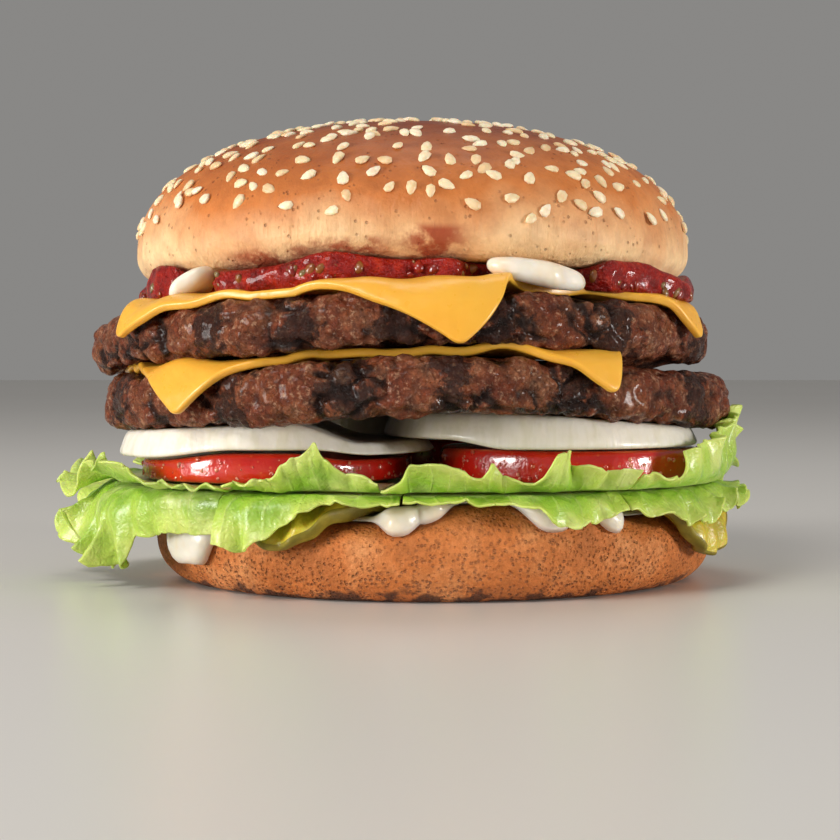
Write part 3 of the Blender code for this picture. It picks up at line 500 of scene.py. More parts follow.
def make_piece(name, mesh, finishes, node=None, in_metres=False):
    """The mesh as a finished piece of the burger, which takes a solid's place if one is named."""
    if not in_metres:
        mesh.transform(Matrix.Scale(MM, 4))
    mesh.name = name
    mesh.materials.clear()
    for finish in finishes:
        mesh.materials.append(finish)
    mesh.shade_smooth()
    piece = bpy.data.objects.new(name, mesh)
    bpy.context.scene.collection.objects.link(piece)
    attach(piece, "root")
    if node:
        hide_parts(node)
    return piece


def store_values(mesh, name, values):
    """Keeps one number for each point, for a finish to read."""
    mesh.attributes.new(name, "FLOAT", "POINT").data.foreach_set("value", values)


# Round layers


def slab_profile(radius, edge, flat_points, edge_points, squareness=1.0):
    """A disc of half thickness 1 with a rounded edge, from the top centre to the bottom centre."""
    flat = radius - edge
    angles = np.linspace(math.pi / 2, -math.pi / 2, edge_points)
    out = flat + edge * np.abs(np.cos(angles)) ** squareness
    up = np.sign(angles) * np.abs(np.sin(angles)) ** squareness
    inner = np.linspace(0.0, flat, flat_points, endpoint=False)
    top = np.stack([inner, np.ones(flat_points)], axis=-1)
    rim = np.stack([out, up], axis=-1)
    return np.concatenate([top, rim, (top * (1, -1))[::-1]])


def slab_points(centre, profile, bottom, top, steps, outline=None):
    """Points and faces of a round layer between two heights."""
    points, faces = turned(profile, steps)
    x, y, z = points.T
    spread = 1.0
    if outline is not None:
        spread = outline(np.degrees(np.arctan2(y, x)))
    x = centre[0] + x * spread
    y = centre[1] + y * spread
    low = bottom(x, y)
    return np.stack([x, y, low + (top(x, y) - low) * (z + 1) / 2], axis=-1), faces


def lower_patty_base(x, y):
    return arch_height(LOWER_PATTY_BASE, x)


def lower_patty_top(x, y):
    return arch_height(LOWER_PATTY_TOP, x)


def upper_patty_base(x, y):
    """The upper patty rests on the lower cheese, and sags to the lower patty left of it."""
    return lower_patty_top(x, y) + PATTY_ROOM - 1.6 * smooth((-x - 59.5) / 5.0)


def upper_patty_top(x, y):
    return upper_patty_base(x, y) + UPPER_PATTY_HEIGHT


def crown_base(x, y):
    drop = CROWN_MIDDLE_BASE - CROWN_SIDE_BASE
    return CROWN_MIDDLE_BASE - drop * (x / in_mm(sizes().crown_radius)) ** 2


def covered(corners, x, y):
    """1 under the slice with these corners, and easing to 0 just outside it."""
    inside = np.full(np.shape(x), 9.0)
    for (ax, ay), (bx, by) in zip(corners, corners[1:] + corners[:1]):
        side = (bx - ax) * (y - ay) - (by - ay) * (x - ax)
        inside = np.minimum(inside, side / math.hypot(bx - ax, by - ay))
    return smooth((inside + 3.0) / 4.0)


def sagging_base(x, y):
    """Underside of the upper patty where it sags on to the cheese, and on to the meat beside it."""
    reach = np.hypot(x - UPPER_PATTY_CENTRE[0], y - UPPER_PATTY_CENTRE[1])
    cheese = covered(LOWER_CHEESE_CORNERS, x, y)
    sag = PATTY_SAG_ON_CHEESE * cheese + PATTY_SAG_ON_MEAT * (1 - cheese)
    return upper_patty_base(x, y) - CLEARANCE - sag * smooth((58.0 - reach) / 7.0)


def resting_base(x, y):
    """Underside of the lower patty where it rests on the onions."""
    return lower_patty_base(x, y) - 0.5


def ragged(bearing, turn):
    """Share of the patty's radius at a bearing: hand-pressed meat is never quite round."""
    a = np.radians(bearing) + turn
    return 1.0 + 0.010 * np.sin(3 * a) + 0.008 * np.sin(5 * a + 1.3) + 0.006 * np.sin(11 * a)


# Node trees


class Tree:
    """Adds nodes to a shader or geometry tree. A socket given as a value is linked."""

    def __init__(self, tree):
        self.tree = tree

    def add(self, kind, values=None, **settings):
        node = self.tree.nodes.new(kind)
        for name, value in settings.items():
            setattr(node, name, value)
        for key, value in (values or {}).items():
            self.put(node.inputs[key], value)
        return node

    def put(self, socket, value):
        if isinstance(value, bpy.types.NodeSocket):
            self.tree.links.new(value, socket)
        else:
            socket.default_value = value

    def math(self, operation, *values):
        return self.add("ShaderNodeMath", dict(enumerate(values)), operation=operation).outputs[0]

    def vector(self, operation, *values):
        node = self.add("ShaderNodeVectorMath", dict(enumerate(values)), operation=operation)
        return node.outputs["Vector"]

    def scaled(self, vector, factor):
        node = self.add("ShaderNodeVectorMath", {"Vector": vector, "Scale": factor}, operation="SCALE")
        return node.outputs["Vector"]

    def remap(self, value, low, high, to_low=0.0, to_high=1.0, kind="SMOOTHSTEP"):
        values = {
            "Value": value, "From Min": low, "From Max": high, "To Min": to_low, "To Max": to_high,
        }
        return self.add("ShaderNodeMapRange", values, interpolation_type=kind).outputs["Result"]

    def noise(self, vector, size, detail=3.0, roughness=0.55, distortion=0.0):
        """Noise with features of the given size in metres."""
        values = {
            "Vector": vector, "Scale": 1 / size, "Detail": detail, "Roughness": roughness,
            "Distortion": distortion,
        }
        return self.add("ShaderNodeTexNoise", values).outputs[0]

    def cells(self, vector, size):
        """Distance to the nearest of many scattered points."""
        values = {"Vector": vector, "Scale": 1 / size}
        return self.add("ShaderNodeTexVoronoi", values).outputs["Distance"]

    def ramp(self, value, stops):
        """A colour that changes along the value; each stop is a place and a linear colour."""
        node = self.add("ShaderNodeValToRGB", {"Fac": value})
        while len(node.color_ramp.elements) < len(stops):
            node.color_ramp.elements.new(0.5)
        for element, (place, shade) in zip(node.color_ramp.elements, stops):
            element.position = place
            element.color = (*shade, 1.0)
        return node.outputs["Color"]

    def mix(self, factor, first, second):
        node = self.add("ShaderNodeMix", data_type="RGBA")
        for number, value in ((0, factor), (6, first), (7, second)):
            if isinstance(value, tuple) and len(value) == 3:
                value = (*value, 1.0)
            self.put(node.inputs[number], value)
        return node.outputs[2]


class Finish(Tree):
    """A material in the making, with its Principled BSDF at hand."""

    def __init__(self, name, **fixed):
        self.material = bpy.data.materials.new(name)
        self.material.use_nodes = True
        super().__init__(self.material.node_tree)
        self.shader = self.material.node_tree.nodes["Principled BSDF"]
        for socket, value in fixed.items():
            self.shader.inputs[socket.replace("_", " ")].default_value = value

    def place(self):
        """Where a point lies on the object, in metres."""
        return self.add("ShaderNodeTexCoord").outputs["Object"]

    def attribute(self, name):
        return self.add("ShaderNodeAttribute", attribute_name=name).outputs["Fac"]

    def colour(self, value):
        self.put(self.shader.inputs["Base Color"], value)

    def roughness(self, value):
        self.put(self.shader.inputs["Roughness"], value)

    def relief(self, *layers):
        """Bumps the surface by pairs of a height from 0 to 1 and its depth in metres."""
        normal = None
        for height, depth in layers:
            values = {"Height": height, "Distance": depth, "Strength": 1.0}
            if normal is not None:
                values["Normal"] = normal
            normal = self.add("ShaderNodeBump", values).outputs["Normal"]
        self.put(self.shader.inputs["Normal"], normal)


def darker(shade, share):
    return tuple(channel * share for channel in shade)


def blended(first, second, share):
    return tuple(a + (b - a) * share for a, b in zip(first, second))


def crust_finish():
    c = colours()
    top, side, rim = tuple(c.crust_top), tuple(c.crust_side), tuple(c.crust_rim)
    finish = Finish(
        "Baked crust", Coat_Weight=0.03, Coat_Roughness=0.4, Specular_IOR_Level=0.22,
        Subsurface_Weight=0.08, Subsurface_Scale=0.002,
    )
    place = finish.place()
    height = finish.add("ShaderNodeSeparateXYZ", {"Vector": place}).outputs["Z"]
    cloud = finish.noise(place, 0.022, 3.0)
    shifted = finish.math("ADD", height, finish.remap(cloud, 0.3, 0.7, -0.0035, 0.0035))
    level = finish.remap(shifted, 0.0605, 0.0955, kind="LINEAR")
    baked = finish.ramp(
        level,
        (
            (0.0, blended(rim, side, 0.25)),
            (0.12, rim),
            (0.30, blended(rim, side, 0.55)),
            (0.50, side),
            (0.74, blended(side, top, 0.55)),
            (0.97, top),
        ),
    )
    mottle = finish.remap(finish.noise(place, 0.004, 4.0, 0.65), 0.35, 0.7)
    baked = finish.mix(finish.math("MULTIPLY", mottle, 0.22), baked, darker(top, 0.75))
    # Small pores dented into the crust, darkened by painted shade inside them
    pores = finish.remap(finish.cells(place, 0.0016), 0.08, 0.26, 1.0, 0.0)
    scarce = finish.remap(finish.noise(place, 0.005, 2.0), 0.45, 0.62)
    pores = finish.math("MULTIPLY", pores, scarce)
    baked = finish.mix(finish.math("MULTIPLY", pores, 0.4), baked, darker(top, 0.45))
    patchy = finish.remap(finish.noise(place, 0.006, 4.0, 0.65), 0.36, 0.56)
    stain = finish.math("MULTIPLY", finish.attribute("stain"), patchy)
    finish.colour(finish.mix(finish.math("MULTIPLY", stain, 0.85), baked, srgb(150, 44, 16)))
    finish.roughness(finish.remap(finish.noise(place, 0.006, 3.0), 0.3, 0.7, 0.42, 0.58))
    upright = finish.vector("MULTIPLY", place, (1.0, 1.0, 0.16))
    creases = finish.noise(upright, 0.0032, 4.0, 0.6)
    near_rim = finish.remap(height, 0.064, 0.082, 1.0, 0.12)
    creases = finish.math("MULTIPLY", creases, near_rim)
    grain = finish.noise(place, 0.0009, 3.0)
    finish.relief((creases, 0.0011), (grain, 0.00016), (finish.math("SUBTRACT", 1.0, pores), 0.00025))
    return finish.material


def heel_finish():
    base = tuple(colours().heel_crumb)
    finish = Finish("Heel crumb", Subsurface_Weight=0.05, Subsurface_Scale=0.002)
    place = finish.place()
    height = finish.add("ShaderNodeSeparateXYZ", {"Vector": place}).outputs["Z"]
    cloud = finish.noise(place, 0.014, 3.0)
    crumb = finish.ramp(
        cloud,
        (
            (0.32, darker(base, 0.72)),
            (0.5, base),
            (0.68, blended(base, srgb(232, 160, 100), 0.7)),
        ),
    )
    fine = finish.noise(place, 0.0013, 4.0, 0.7)
    crumb = finish.mix(finish.remap(fine, 0.38, 0.62, 0.0, 0.45), crumb, darker(base, 0.55))
    # Small pits dented into the crumb, stronger low down, darkened by painted shade inside them
    spots = finish.remap(finish.cells(place, 0.00085), 0.1, 0.5, 1.0, 0.0)
    patchy = finish.remap(finish.noise(place, 0.0036, 3.0), 0.36, 0.56, 0.4, 1.0)
    low_down = finish.remap(height, 0.004, 0.018, 1.0, 0.6)
    pits = finish.math("MULTIPLY", finish.math("MULTIPLY", spots, patchy), low_down)
    crumb = finish.mix(finish.math("MULTIPLY", pits, 0.55), crumb, darker(base, 0.42))
    scallop = finish.remap(finish.noise(place, 0.0045), 0.3, 0.7, -0.0016, 0.0022)
    toasted = finish.remap(finish.math("ADD", height, scallop), 0.0004, 0.0022, 1.0, 0.0)
    finish.colour(finish.mix(finish.math("MULTIPLY", toasted, 0.85), crumb, srgb(62, 28, 12)))
    finish.roughness(finish.remap(fine, 0.3, 0.7, 0.62, 0.8))
    finish.relief((finish.math("SUBTRACT", 1.0, pits), 0.0005), (fine, 0.0006), (cloud, 0.001))
    return finish.material


def seed_finish():
    base = tuple(colours().sesame)
    finish = Finish("Sesame", Roughness=0.38, Subsurface_Weight=0.25, Subsurface_Scale=0.001)
    shade = finish.ramp(
        finish.attribute("tint"),
        ((0.0, blended(base, srgb(214, 160, 98), 0.55)), (0.45, base), (1.0, srgb(250, 236, 208))),
    )
    cloud = finish.noise(finish.place(), 0.0012, 2.0)
    finish.colour(finish.mix(finish.remap(cloud, 0.4, 0.7, 0.0, 0.35), shade, srgb(212, 164, 104)))
    finish.relief((finish.noise(finish.place(), 0.0006, 2.0), 0.00008))
    return finish.material


def beef_finish():
    beef, char = tuple(colours().beef), tuple(colours().char)
    finish = Finish(
        "Grilled beef", Coat_Weight=0.16, Coat_Roughness=0.07, Coat_IOR=1.4, Specular_IOR_Level=0.22
    )
    place = finish.place()
    pit = finish.attribute("pit")
    meat = finish.ramp(
        finish.noise(place, 0.006, 5.0, 0.7, 0.5),
        (
            (0.30, darker(beef, 0.55)),
            (0.42, beef),
            (0.52, blended(beef, srgb(156, 88, 54), 0.7)),
            (0.62, blended(beef, srgb(172, 110, 74), 0.85)),
            (0.74, blended(beef, srgb(208, 156, 116), 0.85)),
        ),
    )
    fine = finish.noise(place, 0.0008, 5.0, 0.75)
    grains = finish.cells(place, 0.0017)
    meat = finish.mix(finish.remap(fine, 0.38, 0.66, 0.0, 0.6), meat, darker(beef, 0.35))
    # Painted shade in the gaps between the grains, where the relief dents the meat
    meat = finish.mix(finish.remap(grains, 0.35, 0.8, 0.0, 0.5), meat, darker(beef, 0.28))
    # Light tan specks: partly flecks of fat in the meat, partly painted glints on its wet surface
    fat = finish.noise(finish.vector("ADD", place, (0.2, 0.3, 0.1)), 0.0011, 3.0, 0.7)
    meat = finish.mix(finish.remap(fat, 0.54, 0.68, 0.0, 0.7), meat, srgb(206, 158, 124))
    # Painted shade: the hollows between the lumps are darkened almost to the char colour
    meat = finish.mix(finish.remap(pit, 0.2, 0.75, 0.0, 0.92), meat, darker(char, 0.8))
    wander = finish.remap(finish.noise(place, 0.0042, 5.0, 0.7), 0.34, 0.66, -0.5, 0.5)
    burnt = finish.remap(finish.math("ADD", finish.attribute("char"), wander), 0.4, 0.75)
    burnt = finish.math("MULTIPLY", burnt, finish.remap(fine, 0.3, 0.62, 0.98, 0.72))
    finish.colour(finish.mix(burnt, meat, char))
    wet = finish.remap(finish.noise(place, 0.0014, 3.0, 0.6), 0.4, 0.6, 0.16, 0.75)
    finish.roughness(wet)
    finish.relief(
        (finish.math("SUBTRACT", 1.0, grains), 0.0008),
        (finish.noise(place, 0.0020, 4.0, 0.7), 0.0012),
        (fine, 0.0007),
    )
    return finish.material


def cheese_finish():
    base = tuple(colours().cheese)
    finish = Finish(
        "Cheese", Subsurface_Weight=0.22, Subsurface_Scale=0.003, Coat_Weight=0.15,
        Coat_Roughness=0.25, Subsurface_Radius=(1.0, 0.55, 0.15),
    )
    place = finish.place()
    cloud = finish.noise(place, 0.018, 3.0)
    shade = finish.ramp(cloud, ((0.35, blended(base, srgb(240, 160, 40), 0.5)), (0.65, base)))
    finish.colour(shade)
    fine = finish.noise(place, 0.0022, 3.0)
    finish.roughness(finish.remap(fine, 0.3, 0.7, 0.27, 0.42))
    finish.relief((finish.noise(place, 0.007, 2.0), 0.0006), (fine, 0.00008))
    return finish.material


def tomato_skin_finish():
    base = tuple(colours().tomato)
    finish = Finish(
        "Tomato skin", Roughness=0.22, Coat_Weight=0.8, Coat_Roughness=0.06,
        Subsurface_Weight=0.15, Subsurface_Scale=0.003, Subsurface_Radius=(1.0, 0.25, 0.1),
    )
    place = finish.place()
    cloud = finish.noise(place, 0.01, 3.0)
    shade = finish.ramp(
        cloud, ((0.3, darker(base, 0.75)), (0.52, base), (0.72, blended(base, srgb(214, 70, 30), 0.6)))
    )
    specks = finish.remap(finish.cells(place, 0.0017), 0.1, 0.2, 1.0, 0.0)
    finish.colour(finish.mix(finish.math("MULTIPLY", specks, 0.25), shade, srgb(226, 120, 60)))
    finish.relief((finish.noise(place, 0.0035, 3.0), 0.0004), (finish.noise(place, 0.0008), 0.00006))
    return finish.material


def tomato_flesh_finish():
    finish = Finish(
        "Tomato flesh", Roughness=0.2, Coat_Weight=0.7, Coat_Roughness=0.08,
        Subsurface_Weight=0.3, Subsurface_Scale=0.004, Subsurface_Radius=(1.0, 0.3, 0.12),
    )
    place = finish.place()
    shade = finish.ramp(
        finish.noise(place, 0.006, 4.0),
        ((0.3, srgb(170, 34, 18)), (0.55, srgb(206, 66, 34)), (0.75, srgb(226, 120, 70))),
    )
    finish.colour(shade)
    finish.relief((finish.noise(place, 0.002, 4.0), 0.0004))
    return finish.material


def onion_finish():
    base = tuple(colours().onion)
    finish = Finish(
        "Onion", Roughness=0.35, Coat_Weight=0.25, Coat_Roughness=0.12, Subsurface_Weight=0.45,
        Subsurface_Scale=0.004, Subsurface_Radius=(1.0, 0.9, 0.7),
    )
    place = finish.place()
    upright = finish.vector("MULTIPLY", place, (1.0, 1.0, 0.08))
    streaks = finish.noise(upright, 0.0024, 3.0)
    shade = finish.mix(
        finish.remap(streaks, 0.4, 0.7, 0.0, 0.35), base, blended(base, srgb(206, 200, 150), 0.8)
    )
    finish.colour(shade)
    finish.relief((streaks, 0.00035), (finish.noise(place, 0.006), 0.0005))
    return finish.material


def leaf_finish():
    c = colours()
    edge, middle, rib = tuple(c.leaf_edge), tuple(c.leaf_middle), tuple(c.leaf_rib)
    finish = Finish(
        "Lettuce", Coat_Weight=0.25, Coat_Roughness=0.2, Subsurface_Weight=0.35,
        Subsurface_Scale=0.0025, Subsurface_Radius=(0.6, 1.0, 0.2),
    )
    place = finish.place()
    along = finish.attribute("margin")
    wander = finish.remap(finish.noise(place, 0.009, 3.0), 0.3, 0.7, -0.14, 0.14)
    shade = finish.ramp(
        finish.math("ADD", along, wander),
        (
            (0.10, rib),
            (0.32, blended(rib, middle, 0.55)),
            (0.52, middle),
            (0.80, blended(middle, edge, 0.55)),
            (0.97, blended(edge, srgb(206, 222, 128), 0.4)),
        ),
    )
    deep = finish.remap(finish.noise(place, 0.014, 2.0), 0.48, 0.7, 0.0, 0.4)
    shade = finish.mix(deep, shade, darker(middle, 0.55))
    pale = finish.remap(finish.noise(finish.vector("ADD", place, (0.3, 0.1, 0.2)), 0.012), 0.52, 0.7)
    shade = finish.mix(finish.math("MULTIPLY", pale, 0.62), shade, blended(rib, edge, 0.4))
    veins = finish.attribute("vein")
    shade = finish.mix(finish.math("MULTIPLY", veins, 0.45), shade, blended(rib, edge, 0.3))
    finish.colour(shade)
    finish.roughness(finish.remap(finish.noise(place, 0.002, 3.0), 0.3, 0.7, 0.3, 0.5))
    net = finish.noise(place, 0.0016, 2.0, 0.5, 1.5)
    finish.relief((net, 0.00025), (finish.noise(place, 0.0045, 3.0), 0.0009), (veins, 0.0003))
    return finish.material


def pickle_skin_finish():
    base = tuple(colours().pickle_skin)
    finish = Finish(
        "Pickle skin", Roughness=0.48, Coat_Weight=0.1, Coat_Roughness=0.15,
        Subsurface_Weight=0.06, Subsurface_Scale=0.001, Specular_IOR_Level=0.3,
    )
    place = finish.place()
    shade = finish.ramp(
        finish.noise(place, 0.004, 4.0),
        ((0.3, darker(base, 0.7)), (0.5, base), (0.7, blended(base, srgb(168, 150, 52), 0.7))),
    )
    finish.colour(shade)
    finish.relief((finish.noise(place, 0.0018, 3.0), 0.0003))
    return finish.material


def pickle_flesh_finish():
    base = tuple(colours().pickle_flesh)
    finish = Finish(
        "Pickle flesh", Roughness=0.36, Coat_Weight=0.2, Coat_Roughness=0.1,
        Subsurface_Weight=0.35, Subsurface_Scale=0.003,
    )
    place = finish.place()
    shade = finish.ramp(
        finish.noise(place, 0.005, 4.0),
        ((0.32, darker(base, 0.7)), (0.55, base), (0.75, blended(base, srgb(206, 200, 110), 0.6))),
    )
    finish.colour(shade)
    finish.relief((finish.noise(place, 0.0014, 3.0), 0.0003))
    return finish.material


def mayonnaise_finish():
    base = tuple(colours().mayonnaise)
    finish = Finish(
        "Mayonnaise", Roughness=0.36, Coat_Weight=0.3, Coat_Roughness=0.15,
        Subsurface_Weight=0.5, Subsurface_Scale=0.003, Subsurface_Radius=(1.0, 0.8, 0.5),
    )
    place = finish.place()
    cloud = finish.noise(place, 0.005, 2.0)
    finish.colour(finish.mix(finish.remap(cloud, 0.4, 0.7, 0.0, 0.4), base, srgb(232, 208, 168)))
    finish.relief((cloud, 0.0006))
    return finish.material


def ketchup_finish():
    base = tuple(colours().ketchup)
    finish = Finish(
        "Ketchup", Roughness=0.34, Coat_Weight=0.22, Coat_Roughness=0.05, Subsurface_Weight=0.15,
        Subsurface_Scale=0.002, Subsurface_Radius=(1.0, 0.2, 0.1), Specular_IOR_Level=0.25,
    )
    place = finish.place()
    shade = finish.ramp(
        finish.noise(place, 0.003, 4.0, 0.65),
        ((0.34, darker(base, 0.5)), (0.52, base), (0.70, blended(base, srgb(196, 54, 16), 0.7))),
    )
    finish.colour(shade)
    coarse, fine = finish.noise(place, 0.0022, 4.0, 0.65), finish.noise(place, 0.0008)
    finish.relief((coarse, 0.0016), (fine, 0.0007))
    return finish.material


def relish_finish():
    finish = Finish("Relish", Roughness=0.25, Coat_Weight=0.6, Coat_Roughness=0.08)
    shade = finish.ramp(
        finish.attribute("tint"),
        (
            (0.0, srgb(112, 18, 8)),
            (0.45, srgb(150, 26, 10)),
            (0.7, srgb(142, 84, 36)),
            (1.0, srgb(120, 104, 60)),
        ),
    )
    cloud = finish.noise(finish.place(), 0.001, 2.0)
    finish.colour(finish.mix(finish.remap(cloud, 0.4, 0.7, 0.0, 0.4), shade, srgb(96, 22, 8)))
    finish.relief((cloud, 0.0002))
    return finish.material


def water_finish():
    finish = Finish(
        "Water", Roughness=0.05, Coat_Weight=1.0, Coat_Roughness=0.02, Specular_IOR_Level=0.9,
        Subsurface_Weight=0.3, Subsurface_Scale=0.001, Subsurface_Radius=(1.0, 0.4, 0.2),
    )
    # The clear drops are painted in the tomato's red that shows through them, with paler patches of
    # painted highlight
    cloud = finish.noise(finish.place(), 0.0008, 2.0)
    finish.colour(finish.mix(finish.remap(cloud, 0.35, 0.65), srgb(190, 38, 22), srgb(238, 150, 120)))
    return finish.material


# Buns


def crest_height(bearing):
    """Height of the heel's raised rim at a bearing: the pickles press it flat."""
    share = 1.0
    for pickle in PICKLES.values():
        beside = turn_between(bearing, pickle.bearing) - PRESSED_HALF_WIDTH
        share *= smooth(beside / PRESSED_FADE)
    return HEEL_DISH_HEIGHT + (HEEL_CREST_HEIGHT - HEEL_DISH_HEIGHT) * share


def heel_section(bearing, rise=14, shoulder=26, foot=24):
    """(radius, height) rows of the heel's outside, from the dish's middle to the underside."""
    crest = crest_height(bearing)
    outer = in_mm(sizes().heel_radius)
    radii = np.linspace(HEEL_DISH_RADIUS, HEEL_CREST_RADIUS, rise)
    climb = HEEL_DISH_HEIGHT + (crest - HEEL_DISH_HEIGHT) * smooth(np.linspace(0, 1, rise))
    down = np.linspace(0, math.pi / 2, shoulder)[1:]
    shoulder_radii = HEEL_CREST_RADIUS + (outer - HEEL_CREST_RADIUS) * np.sin(down)
    shoulder_heights = HEEL_WAIST_HEIGHT + (crest - HEEL_WAIST_HEIGHT) * np.cos(down)
    under = np.linspace(0, math.pi / 2, foot)[1:]
    foot_radii = HEEL_FLAT_RADIUS + (outer - HEEL_FLAT_RADIUS) * np.cos(under)
    foot_heights = HEEL_WAIST_HEIGHT * (1 - np.sin(under))
    return np.stack(
        [
            np.concatenate([[0.0], radii, shoulder_radii, foot_radii, [0.0]]),
            np.concatenate([[HEEL_DISH_HEIGHT], climb, shoulder_heights, foot_heights, [0.0]]),
        ],
        axis=-1,
    )


def heel_bun():
    """The heel, with its rim pressed down by the pickles and its side slightly uneven."""
    bearings = np.linspace(90.0, 450.0, BUN_STEPS, endpoint=False)
    sections = np.array([heel_section(bearing) for bearing in bearings])
    inner = sections[:, 1:-1]
    x = HEEL_CENTRE[0] + inner[..., 0] * np.cos(np.radians(bearings))[:, None]
    y = HEEL_CENTRE[1] + inner[..., 0] * np.sin(np.radians(bearings))[:, None]
    body = np.stack([x, y, inner[..., 1]], axis=-1).transpose(1, 0, 2).reshape(-1, 3)
    dent = noise_over(body, 16.0, 3.0) * 0.5 + noise_over(body, 5.0, 4.0) * 0.22
    out = body[:, :2] - HEEL_CENTRE
    reach = np.linalg.norm(out, axis=1)
    side = smooth(body[:, 2] / 3.0) * smooth((reach - 50.0) / 5.0)
    out /= reach[:, None]
    body[:, :2] += out * (dent * side - 0.2 * side)[:, None]
    points = np.concatenate(
        [[(*HEEL_CENTRE, HEEL_DISH_HEIGHT)], body, [(*HEEL_CENTRE, 0.0)]]
    )
    mesh = mesh_of("heel_bun", points, closed_rings((inner.shape[1], BUN_STEPS)))
    make_piece("heel_bun_fine", mesh, [heel_finish()], "heel_bun")


def crown_profile():
    """(radius, height) rows from the apex over the dome to the middle of the cut face."""
    radius = in_mm(sizes().crown_radius)
    height = in_mm(sizes().crown_apex) - CROWN_SIDE_BASE
    a = np.linspace(0, math.pi / 2, 90)
    power = 2 / CROWN_POWER
    dome_radii = radius * np.sin(a) ** power
    dome_heights = CROWN_WAIST + (height - CROWN_WAIST) * np.abs(np.cos(a)) ** power
    under = np.linspace(0, math.pi / 2, 26)[1:]
    lip_radii = CROWN_FLAT_RADIUS + (radius - CROWN_FLAT_RADIUS) * np.cos(under)
    lip_heights = CROWN_WAIST * (1 - np.sin(under))
    cut = np.linspace(CROWN_FLAT_RADIUS, 0.0, 12)[1:]
    return np.stack(
        [
            np.concatenate([dome_radii, lip_radii, cut]),
            np.concatenate([dome_heights, lip_heights, np.zeros(len(cut))]),
        ],
        axis=-1,
    )


def seated_crown(points):
    """Seats points of the turned dome on the arched layers below it."""
    x = points[:, 0] + CROWN_CENTRE[0]
    y = points[:, 1] + CROWN_CENTRE[1]
    base = crown_base(x, y)
    apex = in_mm(sizes().crown_apex)
    share = points[:, 2] / (apex - CROWN_SIDE_BASE)
    return np.stack([x, y, base + share * (apex - base)], axis=-1)


def dome_height(radius):
    """Height of the turned dome over its flat base at a radius."""
    share = np.minimum(1.0, radius / in_mm(sizes().crown_radius))
    rise = in_mm(sizes().crown_apex) - CROWN_SIDE_BASE - CROWN_WAIST
    return CROWN_WAIST + rise * (1 - share**CROWN_POWER) ** (1 / CROWN_POWER)


def crown_bun():
    """The dome, softly dented, wrinkled towards its rim and with one long crease at the right."""
    points, faces = turned(crown_profile(), BUN_STEPS)
    height = points[:, 2].copy()
    bearing = np.degrees(np.arctan2(points[:, 1], points[:, 0]))
    reach = np.hypot(points[:, 0], points[:, 1])
    out = points[:, :2] / np.maximum(reach, 1e-6)[:, None]
    around = np.stack([out[:, 0] * 58.0, out[:, 1] * 58.0, height * 0.25], axis=-1)
    wrinkles = noise_over(around, 7.0, 1.0) * 0.55 + noise_over(around, 3.2, 2.0) * 0.3
    low = smooth((24.0 - height) / 18.0) * smooth((reach - 48.0) / 6.0)
    dents = noise_over(points, 26.0, 5.0) * 0.7
    crease_line = turn_between(bearing, -36.0 + (height - 12.0) * 0.22)
    crease = np.exp(-((crease_line / 1.1) ** 2)) * smooth((19.0 - height) / 4.0) * smooth(height / 4.0)
    shift = low * wrinkles * 0.8 + dents * smooth(reach / 30.0) * smooth((reach - 30) / 8)
    points[:, :2] += out * (shift - 0.75 * crease - 0.25 * low)[:, None]
    rim = smooth((reach - 46.0) / 6.0) * smooth((6.0 - height) / 5.0)
    points[:, 2] += rim * noise_over(around * (1, 1, 0), 14.0, 6.0) * 0.9
    mesh = mesh_of("crown_bun", seated_crown(points), faces)
    stain = np.zeros(len(points))
    for middle, half_width, climb in CROWN_STAINS:
        beside = smooth(1.3 - turn_between(bearing, middle) / half_width)
        stain = np.maximum(stain, beside * smooth((climb - height) / 2.0))
    store_values(mesh, "stain", stain)
    make_piece("crown_bun_fine", mesh, [crust_finish()], "crown_bun")


def seed_places(count):
    """Points for the seeds: a wide spread first, then a freer sprinkling."""
    draw = random.Random(SEED_DRAW)
    places = []
    while len(places) < count:
        tries = []
        for _ in range(8 if len(places) < SOLID_SEED_COUNT else 3):
            slant = SEED_LOWEST * math.sqrt(draw.random())
            radius = in_mm(sizes().crown_radius) * math.sin(slant) ** (2 / CROWN_POWER)
            bearing = draw.uniform(-180.0, 180.0)
            if draw.random() < math.exp(-((slant / SEED_CROWDING) ** SEED_FADE)):
                tries.append(on_bearing(bearing, radius))
        if not tries:
            continue
        spread = [min((math.dist(t, p) for p in places), default=9.0) for t in tries]
        best = spread.index(max(spread))
        if spread[best] > SEED_GAP:
            places.append(tries[best])
    return places


def geometry_group(name, inputs):
    """A geometry tree with named inputs, each a socket type and its value."""
    group = bpy.data.node_groups.new(name, "GeometryNodeTree")
    group.interface.new_socket("Geometry", in_out="INPUT", socket_type="NodeSocketGeometry")
    for label, (kind, value) in inputs.items():
        socket = group.interface.new_socket(label, in_out="INPUT", socket_type=kind)
        if value is not None:
            socket.default_value = value
    group.interface.new_socket("Geometry", in_out="OUTPUT", socket_type="NodeSocketGeometry")
    tree = Tree(group)
    return group, tree, tree.add("NodeGroupInput").outputs, tree.add("NodeGroupOutput")


def end_group(tree, end, geometry, finish):
    """Ends a geometry tree with real meshes in one finish."""
    real = tree.add("GeometryNodeRealizeInstances", {"Geometry": geometry}).outputs["Geometry"]
    values = {"Geometry": real, "Material": finish}
    done = tree.add("GeometryNodeSetMaterial", values).outputs["Geometry"]
    tree.put(end.inputs["Geometry"], done)


def through_group(mesh, group, values):
    """The mesh that the geometry tree makes of this one, with its inputs set."""

    def add_modifier(holder):
        modifier = holder.modifiers.new("Nodes", "NODES")
        modifier.node_group = group
        for item in group.interface.items_tree:
            if item.in_out == "INPUT" and item.name in values:
                modifier[item.identifier] = values[item.name]

    return held_mesh(mesh, add_modifier)


